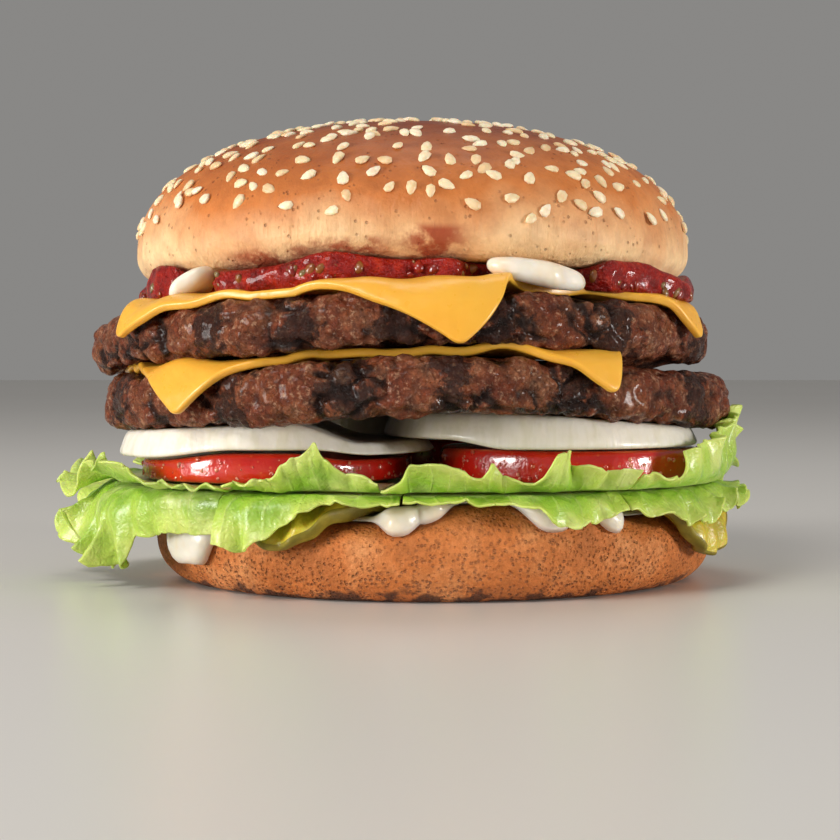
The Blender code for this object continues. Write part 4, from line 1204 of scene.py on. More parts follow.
def grain_group(name, finish, squash, taper):
    """Strews small rounded bodies on points, turned at random about each point's normal."""
    group, tree, given, end = geometry_group(
        name,
        {
            "Length": ("NodeSocketFloat", 0.003),
            "Width": ("NodeSocketFloat", 0.002),
            "Smallest": ("NodeSocketFloat", 0.85),
            "Largest": ("NodeSocketFloat", 1.1),
            "Tilt": ("NodeSocketFloat", 0.1),
            "Seed": ("NodeSocketInt", 1),
        },
    )
    ball = tree.add("GeometryNodeMeshUVSphere", {"Segments": 8, "Rings": 6, "Radius": 0.5})
    position = tree.add("GeometryNodeInputPosition").outputs[0]
    along = tree.add("ShaderNodeSeparateXYZ", {"Vector": position}).outputs["X"]
    narrow = tree.math("SUBTRACT", 1.0, tree.math("MULTIPLY", along, taper))
    across = tree.math("MULTIPLY", given["Width"], narrow)
    size = tree.add(
        "ShaderNodeCombineXYZ",
        {"X": given["Length"], "Y": across, "Z": tree.math("MULTIPLY", across, squash)},
    ).outputs["Vector"]
    shaped = tree.add(
        "GeometryNodeSetPosition",
        {"Geometry": ball.outputs["Mesh"], "Position": tree.vector("MULTIPLY", position, size)},
    ).outputs["Geometry"]
    normal = tree.add("GeometryNodeInputNamedAttribute", {"Name": "normal"}, data_type="FLOAT_VECTOR")
    upright = tree.add(
        "FunctionNodeAlignRotationToVector", {"Vector": normal.outputs["Attribute"]}, axis="Z"
    ).outputs["Rotation"]

    def random_value(low, high, number):
        seed = tree.math("ADD", given["Seed"], float(number))
        values = {2: low, 3: high, "Seed": seed}
        return tree.add("FunctionNodeRandomValue", values, data_type="FLOAT").outputs[1]

    spins = []
    for number, reach in enumerate((given["Tilt"], given["Tilt"], math.pi)):
        spins.append(random_value(tree.math("MULTIPLY", reach, -1.0), reach, number))
    euler = tree.add("ShaderNodeCombineXYZ", dict(zip("XYZ", spins))).outputs["Vector"]
    spin = tree.add("FunctionNodeEulerToRotation", {"Euler": euler}).outputs["Rotation"]
    turn = tree.add(
        "FunctionNodeRotateRotation", {"Rotation": upright, "Rotate By": spin}, rotation_space="LOCAL"
    ).outputs["Rotation"]
    scale = random_value(given["Smallest"], given["Largest"], 7)
    strewn = tree.add(
        "GeometryNodeInstanceOnPoints",
        {"Points": given["Geometry"], "Instance": shaped, "Rotation": turn, "Scale": scale},
    ).outputs["Instances"]
    tinted = tree.add(
        "GeometryNodeStoreNamedAttribute",
        {"Geometry": strewn, "Name": "tint", "Value": random_value(0.0, 1.0, 9)},
        data_type="FLOAT", domain="INSTANCE",
    ).outputs["Geometry"]
    end_group(tree, end, tinted, finish)
    return group


def strew(name, points, normals, finish, group_values, squash=0.45, taper=0.0):
    """Small bodies of one finish at these points, in millimetres, as one piece."""
    mesh = mesh_of(name, np.asarray(points) * MM, [])
    mesh.attributes.new("normal", "FLOAT_VECTOR", "POINT").data.foreach_set(
        "vector", np.asarray(normals).ravel()
    )
    made = through_group(mesh, grain_group(f"Strewn {name}", finish, squash, taper), group_values)
    return make_piece(name, made, [finish], in_metres=True)


def sesame_seeds():
    """Seeds on the crust, crowded towards the top and scarce lower down."""
    points, normals = [], []
    for x, y in seed_places(sizes().seed_count):
        radius = math.hypot(x, y)
        step = 0.4
        slope = float(dome_height(radius + step) - dome_height(radius - step)) / (2 * step)
        out = Vector((x, y, 0.0)).normalized()
        normal = Vector((-out.x * slope, -out.y * slope, 1.0)).normalized()
        seat = seated_crown(np.array([[x, y, float(dome_height(radius))]]))[0]
        points.append(Vector(seat) + normal * 0.18)
        normals.append(normal)
    values = {
        "Length": sizes().seed_length, "Width": sizes().seed_length * 0.62,
        "Smallest": 0.82, "Largest": 1.08, "Tilt": 0.16, "Seed": 5,
    }
    piece = strew("sesame_seeds", points, normals, seed_finish(), values, squash=0.5, taper=0.7)
    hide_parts("crown_bun")


# Patties


def patty_group(finish):
    """Breaks the free side of a patty into lumps of minced meat, and keeps the pits' depth for painted
    shade.
    """
    group, tree, given, end = geometry_group(
        "Minced meat",
        {
            "Lump size": ("NodeSocketFloat", 0.005),
            "Lump depth": ("NodeSocketFloat", 0.0015),
            "Swell": ("NodeSocketFloat", 0.001),
            "Turn": ("NodeSocketFloat", 0.0),
        },
    )
    position = tree.add("GeometryNodeInputPosition").outputs[0]
    shift = tree.add("ShaderNodeCombineXYZ", {"X": given["Turn"], "Y": given["Turn"]}).outputs[0]
    moved = tree.vector("ADD", position, shift)
    swirl = tree.add("ShaderNodeTexNoise", {"Vector": moved, "Scale": 150.0, "Detail": 3.0})
    swirl = tree.vector("SUBTRACT", swirl.outputs["Color"], (0.5, 0.5, 0.5))
    swirl = tree.scaled(swirl, tree.math("MULTIPLY", given["Lump size"], 0.9))
    moved = tree.vector("ADD", moved, swirl)
    coarse = tree.math("DIVIDE", 1.0, given["Lump size"])
    lumps = tree.add("ShaderNodeTexVoronoi", {"Vector": moved, "Scale": coarse}, feature="F1")
    lumps = tree.math("POWER", lumps.outputs["Distance"], 1.7)
    grains = tree.add(
        "ShaderNodeTexVoronoi",
        {"Vector": moved, "Scale": tree.math("MULTIPLY", coarse, 2.3)}, feature="F1",
    )
    grains = tree.math("POWER", grains.outputs["Distance"], 1.6)
    broad = tree.add("ShaderNodeTexNoise", {"Vector": moved, "Scale": 70.0, "Detail": 2.0}).outputs[0]
    gaps = tree.add(
        "ShaderNodeTexVoronoi",
        {"Vector": moved, "Scale": tree.math("MULTIPLY", coarse, 0.62)}, feature="DISTANCE_TO_EDGE",
    ).outputs["Distance"]
    gaps = tree.remap(gaps, 0.0, 0.16, 1.0, 0.0)
    gaps = tree.math("MULTIPLY", gaps, tree.remap(broad, 0.42, 0.62))
    depth = tree.math("ADD", tree.math("MULTIPLY", lumps, 1.25), tree.math("MULTIPLY", grains, 0.5))
    depth = tree.math("ADD", depth, tree.math("MULTIPLY", gaps, 0.95))
    depth = tree.math("ADD", depth, tree.remap(broad, 0.3, 0.7, 0.0, 0.55))
    depth = tree.math("MULTIPLY", depth, given["Lump depth"])
    free = tree.add("GeometryNodeInputNamedAttribute", {"Name": "free"}, data_type="FLOAT")
    swell = tree.math("SUBTRACT", given["Swell"], depth)
    swell = tree.math("MULTIPLY", swell, free.outputs["Attribute"])
    normal = tree.add("GeometryNodeInputNormal").outputs[0]
    carved = tree.add(
        "GeometryNodeSetPosition", {"Geometry": given["Geometry"], "Offset": tree.scaled(normal, swell)}
    ).outputs["Geometry"]
    # Depth of the hollows and gaps, kept only to paint shade into them
    pit = tree.math("ADD", tree.math("MULTIPLY", lumps, 0.75), tree.math("MULTIPLY", gaps, 0.7))
    kept = tree.add(
        "GeometryNodeStoreNamedAttribute", {"Geometry": carved, "Name": "pit", "Value": pit},
        data_type="FLOAT", domain="POINT",
    ).outputs["Geometry"]
    end_group(tree, end, kept, finish)
    return group


def patty(name, centre, radius, bottom, top, turn, char, group, finish):
    """One patty, charred in bands, with lumps of minced meat along its free side."""
    profile = slab_profile(radius, PATTY_EDGE, 26, 34, PATTY_SQUARENESS)
    points, faces = slab_points(
        centre, profile, bottom, top, PATTY_STEPS, lambda bearing: ragged(bearing, turn)
    )
    bearing = np.degrees(np.arctan2(points[:, 1] - centre[1], points[:, 0] - centre[0]))
    burnt = np.zeros(len(points))
    for middle, half_width in char:
        burnt = np.maximum(burnt, np.exp(-((turn_between(bearing, middle) / half_width) ** 2)))
    mesh = mesh_of(name, points * MM, faces)
    store_values(mesh, "char", burnt)
    reach = np.hypot(points[:, 0] - centre[0], points[:, 1] - centre[1])
    store_values(mesh, "free", smooth((reach - radius + 13.0) / 8.0))
    values = {
        "Lump size": sizes().lump_size, "Lump depth": sizes().lump_depth,
        "Swell": sizes().lump_swell, "Turn": turn * 0.05,
    }
    make_piece(name + "_fine", through_group(mesh, group, values), [finish], name, in_metres=True)


# Cheese


def softened_square(u, v, corner):
    """Rounds the corners of a square from -1 to 1 by the given share of its half side."""
    a = np.clip((np.abs(u) - 1 + corner) / corner, 0.0, None)
    b = np.clip((np.abs(v) - 1 + corner) / corner, 0.0, None)
    pull = np.maximum(a, b) / np.maximum(np.hypot(a, b), 1e-9)
    pull = np.where((a > 0) & (b > 0), pull, 1.0)
    new_u = np.where(a > 0, np.sign(u) * (1 - corner + corner * a * pull), u)
    new_v = np.where(b > 0, np.sign(v) * (1 - corner + corner * b * pull), v)
    return new_u, new_v


def draped(x, y, centre, radius, turn, top, thickness):
    """Where points of a flat slice come to lie on a patty and over its rounded edge."""
    lift = CLEARANCE + thickness / 2
    dx, dy = x - centre[0], y - centre[1]
    reach = np.hypot(dx, dy)
    edge_start = radius * ragged(np.degrees(np.arctan2(dy, dx)), turn) - PATTY_EDGE + CHEESE_SLACK
    past = np.maximum(0.0, reach - edge_start)
    bend = PATTY_EDGE + lift + CHEESE_SLACK
    steepest = math.radians(CHEESE_STEEPEST)
    angle = np.minimum(past / bend, steepest)
    hanging = np.maximum(0.0, past - bend * steepest)
    out = np.minimum(reach, edge_start) + bend * np.sin(angle) + hanging * math.cos(steepest)
    down = bend * (1 - np.cos(angle)) + hanging * math.sin(steepest)
    share = out / np.maximum(reach, 1e-6)
    x, y = centre[0] + dx * share, centre[1] + dy * share
    return np.stack([x, y, top(x, y) + lift - down], axis=-1)


def grid_faces(columns, rows):
    """Quads of a grid whose points run row by row."""
    start = (np.arange(rows)[:, None] * (columns + 1) + np.arange(columns)[None, :]).reshape(-1)
    return np.stack([start, start + 1, start + columns + 2, start + columns + 1], -1).tolist()


def cheese_slice(name, corners, centre, radius, turn, top, finish, draw, pinch=0.0):
    """A slice draped over a patty; the pinch is how far its right side has drawn in, of its width."""
    thickness = in_mm(sizes().cheese_thickness)
    line = np.linspace(-1.0, 1.0, CHEESE_CELLS + 1)
    u, v = np.meshgrid(line, line)
    u, v = softened_square(u.ravel(), v.ravel(), CHEESE_CORNER)
    u, v = (u + 1) / 2, (v + 1) / 2
    edge = 1 - np.minimum.reduce([u, v, 1 - u, 1 - v]) * 8
    u = u * (1 - pinch * np.sin(np.pi * v) ** 2)
    a, b, c, d = (np.array(corner) for corner in corners)
    flat = (
        np.outer((1 - u) * (1 - v), a) + np.outer(u * (1 - v), b) + np.outer(u * v, c)
        + np.outer((1 - u) * v, d)
    )
    wander = noise_over(np.column_stack([flat, np.zeros(len(flat))]), 13.0, draw)
    middle = flat.mean(axis=0)
    flat = middle + (flat - middle) * (1 + 0.012 * wander * np.clip(edge, 0, 1))[:, None]
    points = draped(flat[:, 0], flat[:, 1], centre, radius, turn, top, thickness)
    flat_part = smooth((radius - np.linalg.norm(flat - centre, axis=1)) / 3.0 + 1.0)
    lift = np.maximum(noise_over(points * (1, 1, 0), 11.0, draw + 1) + 0.12, -0.1)
    points[:, 2] += smooth(1 + edge * 0.35) * flat_part * lift * 2.2
    mesh = mesh_of(name, points, grid_faces(CHEESE_CELLS, CHEESE_CELLS))

    def add_modifiers(holder):
        solidify = holder.modifiers.new("Thickness", "SOLIDIFY")
        solidify.thickness = thickness
        solidify.offset = 0.0
        bevel = holder.modifiers.new("Soft edge", "BEVEL")
        bevel.width = 0.62
        bevel.segments = 4
        bevel.limit_method = "ANGLE"
        bevel.angle_limit = math.radians(50.0)

    make_piece(name + "_fine", held_mesh(mesh, add_modifiers), [finish], name)


# Tomatoes and onions


def tomato_top(name, x):
    """Upper side of a tomato slice: the left one is pressed down where two onions cross."""
    if name == "tomato_left":
        crossed = 1.5 * smooth((x + 24.0) / 12.0)
        return TOMATO_LEFT_TOP - crossed - 2.0 * smooth((-34.0 - x) / 20.0)
    return TOMATO_TOP + 0.0 * x


def tomato_slices():
    """Slices with a skin, and drops of water strewn on their sides."""
    skin, flesh, water = tomato_skin_finish(), tomato_flesh_finish(), water_finish()
    drops, drop_normals = [], []
    draw = random.Random(23)
    for number, (name, cut) in enumerate(TOMATOES.items()):
        phase = number * 1.7

        def outline(bearing):
            a = np.radians(bearing) + phase
            return 0.992 + 0.008 * np.sin(3 * a) + 0.006 * np.sin(5 * a + 0.8)

        profile = slab_profile(cut.radius, TOMATO_EDGE, 14, 22, 0.55)
        points, faces = slab_points(
            cut.centre, profile, lambda x, y: TOMATO_BASE + 0.0 * x,
            lambda x, y: tomato_top(name, x), SLICE_STEPS, outline,
        )
        mesh = mesh_of(name, points, faces)
        flats = np.array([abs(face.normal.z) > 0.8 for face in mesh.polygons], dtype=np.int32)
        make_piece(name + "_fine", mesh, [skin, flesh], name)
        mesh.polygons.foreach_set("material_index", flats)
        mesh.update()
        for _ in range(DROPS_ON_A_TOMATO):
            bearing = draw.uniform(-180.0, 180.0)
            share = draw.uniform(0.12, 0.9)
            radius = cut.radius * float(outline(bearing)) - 0.05
            x, y = on_bearing(bearing, radius, cut.centre)
            z = TOMATO_BASE + share * (float(tomato_top(name, x)) - TOMATO_BASE)
            drops.append((x, y, z))
            drop_normals.append((*on_bearing(bearing, 1.0), 0.0))
    values = {
        "Length": sizes().drop_radius * 2, "Width": sizes().drop_radius * 2,
        "Smallest": 0.22, "Largest": 1.0, "Tilt": 0.0, "Seed": 3,
    }
    strew("tomato_drops", drops, drop_normals, water, values, squash=0.62)


def onion_base(name, x):
    """Underside of an onion slice: it lies on the tomatoes, and the right one on the left one."""
    if name == "onion_right":
        return ONION_BASE + 1.7 * smooth((18.0 - x) / 12.0)
    if name == "onion_left":
        pressed = 1.2 * smooth((x + 20.0) / 12.0)
        return ONION_LEFT_BASE - pressed - 2.0 * smooth((-34.0 - x) / 20.0)
    return ONION_BASE + 0.0 * x


def onion_top(name, x, y):
    """Upper side of an onion slice: the left one is pressed flat under the right one."""
    under_patty = lower_patty_base(x, y) - 2 * CLEARANCE
    if name == "onion_left":
        return under_patty - (under_patty - 29.8) * smooth((x + 26.0) / 16.0)
    return under_patty


def onion_slices():
    """Upright slices that narrow slightly towards the top."""
    finish = onion_finish()
    for number, (name, cut) in enumerate(ONIONS.items()):
        phase = number * 2.3

        def outline(bearing):
            a = np.radians(bearing) + phase
            return 0.99 + 0.007 * np.sin(4 * a) + 0.003 * np.sin(17 * a) + 0.002 * np.sin(29 * a)

        upright = slab_profile(cut.radius, ONION_EDGE, 18, 22, 0.5)
        slant = 1 - ONION_SLANT * (upright[:, 1] + 1)
        profile = np.stack([upright[:, 0] * slant, upright[:, 1]], axis=-1)
        points, faces = slab_points(
            cut.centre, profile, lambda x, y: onion_base(name, x),
            lambda x, y: onion_top(name, x, y), SLICE_STEPS, outline,
        )
        make_piece(name + "_fine", mesh_of(name, points, faces), [finish], name)


# Pickles


def section_walk(bearing, start, distances, lift):
    """Points at given distances along the heel's section, raised by lift along its normal."""
    section = heel_section(bearing)[:-1]
    steps = np.diff(section, axis=0)
    lengths = np.hypot(*steps.T)
    along = np.concatenate([[0.0], np.cumsum(lengths)])
    walked = np.clip(np.asarray(distances) + start, 0.0, along[-1] - 0.01)
    point = np.stack([np.interp(walked, along, section[:, i]) for i in (0, 1)], axis=-1)
    middles = (along[:-1] + along[1:]) / 2
    slope = np.stack([np.interp(walked, middles, steps[:, i] / lengths) for i in (0, 1)], axis=-1)
    slope /= np.linalg.norm(slope, axis=-1, keepdims=True)
    normal = np.stack([-slope[..., 1], slope[..., 0]], axis=-1)
    return point + normal * np.asarray(lift)[..., None]


def pickle_slices():
    """Crinkle-cut slices that lie on the heel and bend down over its shoulder."""
    skin, flesh = pickle_skin_finish(), pickle_flesh_finish()
    radius = in_mm(sizes().pickle_radius)
    half = in_mm(sizes().pickle_thickness) / 2
    wave = in_mm(sizes().crinkle)
    face_rings, rim_rings = 26, 12
    for name, pickle in PICKLES.items():
        profile = slab_profile(radius, PICKLE_EDGE, face_rings, rim_rings, 0.7)
        points, faces = turned(profile, SLICE_STEPS)
        outward, across, share = points.T
        height = share * half + wave * np.cos(2 * math.pi * across / CRINKLE_PITCH)
        start = pickle.reach + pickle.slide * across / radius
        lift = PICKLE_MIDDLE - HEEL_DISH_HEIGHT + height
        walked = section_walk(pickle.bearing, start, outward, lift)
        turn = np.radians(pickle.bearing)
        x = HEEL_CENTRE[0] + walked[:, 0] * np.cos(turn) - across * np.sin(turn)
        y = HEEL_CENTRE[1] + walked[:, 0] * np.sin(turn) + across * np.cos(turn)
        mesh = mesh_of(name, np.stack([x, y, walked[:, 1]], axis=-1), faces)
        first = (face_rings - 1) * SLICE_STEPS
        cut_faces = np.ones(len(faces), dtype=np.int32)
        cut_faces[first:first + rim_rings * SLICE_STEPS] = 0
        make_piece(name + "_fine", mesh, [skin, flesh], name)
        mesh.polygons.foreach_set("material_index", cut_faces)
        mesh.update()


# Sauces


def mayo_edge(bearing):
    """How far past its bed the lower mayonnaise runs at a bearing, and how much it bulges."""
    reach, bulge = 0.0, 0.0
    for lobe in MAYO_LOBES:
        share = math.exp(-((turn_between(bearing, lobe.bearing) / lobe.width) ** 3))
        reach = max(reach, lobe.reach * share)
        bulge = max(bulge, lobe.bulge * share)
    return reach, bulge


def mayo_ring(bearing):
    """Section of the mayonnaise at a bearing: out along its top, and back along the bread."""
    reach, bulge = mayo_edge(bearing)
    end = MAYO_REACH + reach
    bed = [20.0, 32.0, HEEL_DISH_RADIUS - 1.0, MAYO_RISE_END]
    walk = np.array([*bed, *np.linspace(HEEL_CREST_RADIUS, end, 22)])
    share = np.clip((walk - HEEL_CREST_RADIUS) / (end - HEEL_CREST_RADIUS), 0.0, 1.0)
    round_end = np.sqrt(np.clip(1 - ((walk - end + 2.0) / 2.0).clip(0, 1) ** 2, 0.0, 1.0))
    swell = np.sin(np.pi * np.clip(share * 0.85, 0, 1)) ** 0.7
    thick = (MAYO_THICKNESS + bulge * swell) * round_end
    lift = CLEARANCE + MAYO_LIFT * (1 + np.clip((walk - HEEL_DISH_RADIUS) / 5.0, 0.0, 1.0))
    top = section_walk(bearing, 0.0, walk, lift + thick)
    bottom = section_walk(bearing, 0.0, walk[:-1][::-1], lift[:-1][::-1])
    ring = np.concatenate([top, bottom])
    ring[:, 1] = np.minimum(ring[:, 1], MAYO_CEILING)
    return ring


def lower_mayonnaise(finish):
    """The thin bed on the heel, with its lobes over the rim."""
    bearings = np.linspace(90.0, 450.0, MAYO_STEPS, endpoint=False)
    rings = np.array([mayo_ring(bearing) for bearing in bearings])
    x = HEEL_CENTRE[0] + rings[..., 0] * np.cos(np.radians(bearings))[:, None]
    y = HEEL_CENTRE[1] + rings[..., 0] * np.sin(np.radians(bearings))[:, None]
    body = np.stack([x, y, rings[..., 1]], axis=-1).transpose(1, 0, 2).reshape(-1, 3)
    low = HEEL_DISH_HEIGHT + CLEARANCE + MAYO_LIFT
    points = np.concatenate([[(*HEEL_CENTRE, low + MAYO_THICKNESS)], body, [(*HEEL_CENTRE, low)]])
    mesh = mesh_of("mayonnaise_lower", points, closed_rings((rings.shape[1], MAYO_STEPS)))
    make_piece("mayonnaise_lower_fine", mesh, [finish], "mayonnaise_lower")


def inside_slice(corners, x, y, margin):
    """Whether points lie on a slice with these corners, or within the margin of it."""
    inside = np.ones(np.shape(x), dtype=bool)
    for (ax, ay), (bx, by) in zip(corners, corners[1:] + corners[:1]):
        side = (bx - ax) * (y - ay) - (by - ay) * (x - ax)
        inside &= side / math.hypot(bx - ax, by - ay) >= -margin
    return inside


def upper_bed(x, y, margin=4.0):
    """Height of what lies under the upper sauces: the cheese, or else the patty."""
    over_patty = upper_patty_top(x, y)
    on_cheese = inside_slice(UPPER_CHEESE_CORNERS, x, y, margin)
    return over_patty + on_cheese * (CLEARANCE + in_mm(sizes().cheese_thickness))


def ketchup_outline(bearing):
    """Share of the ketchup's radius at a bearing: squeezed out in waves, held back by the mayo."""
    a = np.radians(bearing)
    waves = 0.022 * np.sin(5 * a + 0.6) + 0.020 * np.sin(9 * a) + 0.012 * np.sin(14 * a + 2.0)
    waves = waves + 0.075 * np.exp(-((turn_between(bearing, -27.0) / 17.0) ** 2))
    hold = np.zeros(np.shape(bearing))
    for blob in UPPER_MAYO:
        window = turn_between(bearing, blob.bearing) / (blob.width * 1.35)
        hold = np.maximum(hold, 0.22 * np.exp(-(window**6)))
    return 1.0 + waves - hold


def ketchup_top(x, y):
    """The sauce fills some of the wedge below the crown's rounded lip."""
    reach = np.hypot(x - CROWN_CENTRE[0], y - CROWN_CENTRE[1])
    lip = in_mm(sizes().crown_radius) - CROWN_FLAT_RADIUS
    share = np.clip((reach - CROWN_FLAT_RADIUS) / lip, 0.0, 1.0)
    wedge = CROWN_WAIST * (1 - np.sqrt(1 - share**2))
    bearing = np.degrees(np.arctan2(y, x))
    fill = 0.45 + 0.45 * np.sin(np.radians(bearing) * 7.0 + 1.0)
    fill = fill * smooth((turn_between(bearing, 90.0) - 40.0) / 30.0)
    return crown_base(x, y) - CLEARANCE + np.minimum(wedge, 4.0) * fill


def ketchup(finish, bits):
    """The sauce between the upper cheese and the crown, with bits of relish in its side."""
    profile = slab_profile(KETCHUP_RADIUS, 1.8, 16, 20, 0.8)
    points, faces = slab_points(
        CROWN_CENTRE, profile, lambda x, y: upper_bed(x, y, margin=99.0) - 0.3,
        ketchup_top, KETCHUP_STEPS, ketchup_outline,
    )
    out = points[:, :2] - CROWN_CENTRE
    reach = np.linalg.norm(out, axis=1)
    near = smooth((reach - 44.0) / 8.0)
    ripple = near * (noise_over(points, 4.5, 8.0) * 0.9 + noise_over(points, 1.9, 9.0) * 0.35)
    points[:, :2] += out / np.maximum(reach, 1e-6)[:, None] * ripple[:, None]
    make_piece("ketchup_fine", mesh_of("ketchup", points, faces), [finish], "ketchup")
    draw = random.Random(31)
    places, normals = [], []
    for _ in range(RELISH_BITS):
        bearing = draw.uniform(-180.0, 180.0)
        radius = KETCHUP_RADIUS * float(ketchup_outline(bearing)) - draw.uniform(0.2, 1.2)
        x, y = on_bearing(bearing, radius, CROWN_CENTRE)
        low = float(upper_bed(x, y, margin=99.0)) + 0.9
        high = float(crown_base(x, y)) - 0.9
        places.append((x, y, draw.uniform(low, high)))
        normals.append((*on_bearing(bearing, 1.0), 0.0))
    values = {
        "Length": 2.9 * MM, "Width": 2.0 * MM, "Smallest": 0.35, "Largest": 1.1, "Tilt": 0.6, "Seed": 8,
    }
    relish = strew("ketchup_relish", places, normals, bits, values, squash=0.7, taper=0.4)


def upper_mayonnaise(finish):
    """Blobs that are squeezed out between the crown and the upper patty."""
    for number, blob in enumerate(UPPER_MAYO, start=1):
        angles = np.linspace(0.0, math.pi, 30)
        profile = np.stack([np.sin(angles), np.cos(angles)], axis=-1)
        points, faces = turned(profile, 56)
        out, along, up = (points * (blob.depth, blob.length, blob.height)).T
        swell = 1 + 0.14 * np.sin(along * 0.75 + number) * (1 - (along / blob.length) ** 2)
        out = out * swell - 0.012 * along * along
        turn = math.radians(blob.bearing)
        centre = on_bearing(blob.bearing, blob.radius, CROWN_CENTRE)
        x = centre[0] + out * math.cos(turn) - along * math.sin(turn)
        y = centre[1] + out * math.sin(turn) + along * math.cos(turn)
        outer = smooth(out / blob.depth + 0.3)
        floor = upper_bed(x, y) - 0.2 - 1.3 * outer
        ceiling = crown_base(x, y) + 0.2 + 0.9 * outer
        middle = (floor + ceiling) / 2
        half = (ceiling - floor) / 2
        z = middle + half * np.tanh(1.25 * up / half) + blob.tilt * along
        name = f"mayonnaise_upper_{number}"
        make_piece(name + "_fine", mesh_of(name, np.stack([x, y, z], -1), faces), [finish], name)


# Lettuce


def station_values(leaf, bearing):
    """Free length, slope and swing of a leaf at a bearing, eased between its stations."""
    for before, after in zip(leaf.stations, leaf.stations[1:]):
        if bearing <= after.bearing or after is leaf.stations[-1]:
            share = float(smooth((bearing - before.bearing) / (after.bearing - before.bearing)))
            return [a + (b - a) * share for a, b in zip(before[1:], after[1:])]


def leaf_column(leaf, u, frees, draw):
    """Radii, heights and bearings of a leaf's points along one line out to its margin."""
    first, last = leaf.stations[0].bearing, leaf.stations[-1].bearing
    bearing = first + (last - first) * u
    hinge, length, slope, swing, frill = station_values(leaf, bearing)
    phase = 2 * math.pi * (leaf.ruffles * u + leaf.phase)
    wave = 0.65 * math.sin(phase) + 0.35 * math.sin(2.37 * phase + 1.1)
    frill *= float(smooth(min(u, 1 - u) * 14.0))
    along = math.radians(bearing) * hinge
    along += 2.4 * noise.noise(Vector((along / 9.0, draw * 7.3, 0.0)))
    lobes = abs(math.sin(math.pi * along / LOBE_PITCH + draw)) ** 0.55
    teeth = abs(math.sin(math.pi * along / TOOTH_PITCH)) ** 0.7
    length += frill * (1.7 * (lobes - 0.65) + 0.8 * (teeth - 0.6))
    turn = 2 * math.pi * along / FRILL_PITCH + draw
    curl = frill * (34.0 * math.sin(turn) + 20.0 * math.sin(1.83 * turn + draw))
    steps = (np.arange(LEAF_SLICES) + 0.5) / LEAF_SLICES
    aim = np.radians(slope + swing * wave) * smooth(steps * 1.6)
    aim = aim + np.radians(curl) * steps**2.5
    out = np.concatenate([[0.0], np.cumsum(np.cos(aim))]) * length / LEAF_SLICES
    up = np.concatenate([[0.0], np.cumsum(np.sin(aim))]) * length / LEAF_SLICES
    marks = np.linspace(0.0, 1.0, LEAF_SLICES + 1)
    sway = frill * (0.9 * math.cos(turn) + 0.35 * math.cos(1.83 * turn))
    radii = hinge + np.interp(frees, marks, out)
    heights = leaf.height + np.interp(frees, marks, up)
    return radii, heights, bearing + sway * frees**2, hinge


def leaf_sheet(leaf, draw):
    """Points of one leaf, with how far out each lies and how near to a vein, and its faces."""
    v = np.linspace(0.0, 1.0, leaf.rows + 1)
    frees = np.clip((v - LEAF_HELD_SHARE) / (1 - LEAF_HELD_SHARE), 0.0, 1.0)
    columns = []
    for u in np.linspace(0.0, 1.0, leaf.columns + 1):
        radii, heights, bearings, hinge = leaf_column(leaf, u, frees, draw)
        share = np.minimum(1.0, v / LEAF_HELD_SHARE)
        held = LEAF_INNER_RADIUS + (hinge - LEAF_INNER_RADIUS) * share
        radii = np.where(v < LEAF_HELD_SHARE, held, radii)
        x, y = on_bearing(bearings, radii)
        columns.append(np.stack([x, y, heights], axis=-1))
    points = np.stack(columns, axis=1).reshape(-1, 3)
    margin = np.repeat(v, leaf.columns + 1)
    loose = np.repeat(frees, leaf.columns + 1)
    crinkle = noise_over(points, 6.0, draw) * 0.9 + noise_over(points, 2.2, draw + 3) * 0.3
    points[:, 2] += crinkle * smooth(loose * 2.5)
    out = points[:, :2] / np.linalg.norm(points[:, :2], axis=1, keepdims=True)
    sideways = noise_over(points, 6.5, draw + 6) * 1.1 * smooth(loose * 2.0)
    points[:, :2] += out * sideways[:, None]
    u_all = np.tile(np.linspace(0.0, 1.0, leaf.columns + 1), leaf.rows + 1)
    lines = leaf.ruffles * 3.0 * u_all + 0.5 * noise_over(points, 9.0, draw + 8)
    vein = np.clip(1.0 - np.abs((lines % 1.0) - 0.5) / 0.07, 0.0, 1.0) * (1 - 0.8 * margin)
    return points, margin, vein, grid_faces(leaf.columns, leaf.rows)


def lettuce_leaf(name, leaf, finish, draw):
    """One ruffled leaf, with its veins."""
    points, margin, vein, faces = leaf_sheet(leaf, draw)
    mesh = mesh_of(name, points, faces)
    store_values(mesh, "margin", margin)
    store_values(mesh, "vein", vein)
    thickness = in_mm(sizes().leaf_thickness)

    def add_modifiers(holder):
        solidify = holder.modifiers.new("Thickness", "SOLIDIFY")
        solidify.thickness = thickness
        solidify.offset = 0.0

    make_piece(name + "_fine", held_mesh(mesh, add_modifiers), [finish], name)


# Operators


class BURGER_OT_heel(bpy.types.Operator):
    """Bakes the bottom bun"""

    bl_idname = "burger.heel"
    bl_label = "Heel bun"

    def execute(self, context):
        heel_bun()
        return {"FINISHED"}


class BURGER_OT_crown(bpy.types.Operator):
    """Bakes the top bun and strews its sesame seeds"""

    bl_idname = "burger.crown"
    bl_label = "Crown bun and seeds"

    def execute(self, context):
        crown_bun()
        sesame_seeds()
        return {"FINISHED"}


class BURGER_OT_patties(bpy.types.Operator):
    """Shapes the two patties of minced meat"""

    bl_idname = "burger.patties"
    bl_label = "Patties"

    def execute(self, context):
        finish = beef_finish()
        group = patty_group(finish)
        patty(
            "patty_lower", LOWER_PATTY_CENTRE, in_mm(sizes().lower_patty_radius),
            resting_base, lower_patty_top, LOWER_PATTY_TURN, LOWER_CHAR, group, finish,
        )
        patty(
            "patty_upper", UPPER_PATTY_CENTRE, in_mm(sizes().upper_patty_radius),
            sagging_base, upper_patty_top, UPPER_PATTY_TURN, UPPER_CHAR, group, finish,
        )
        return {"FINISHED"}


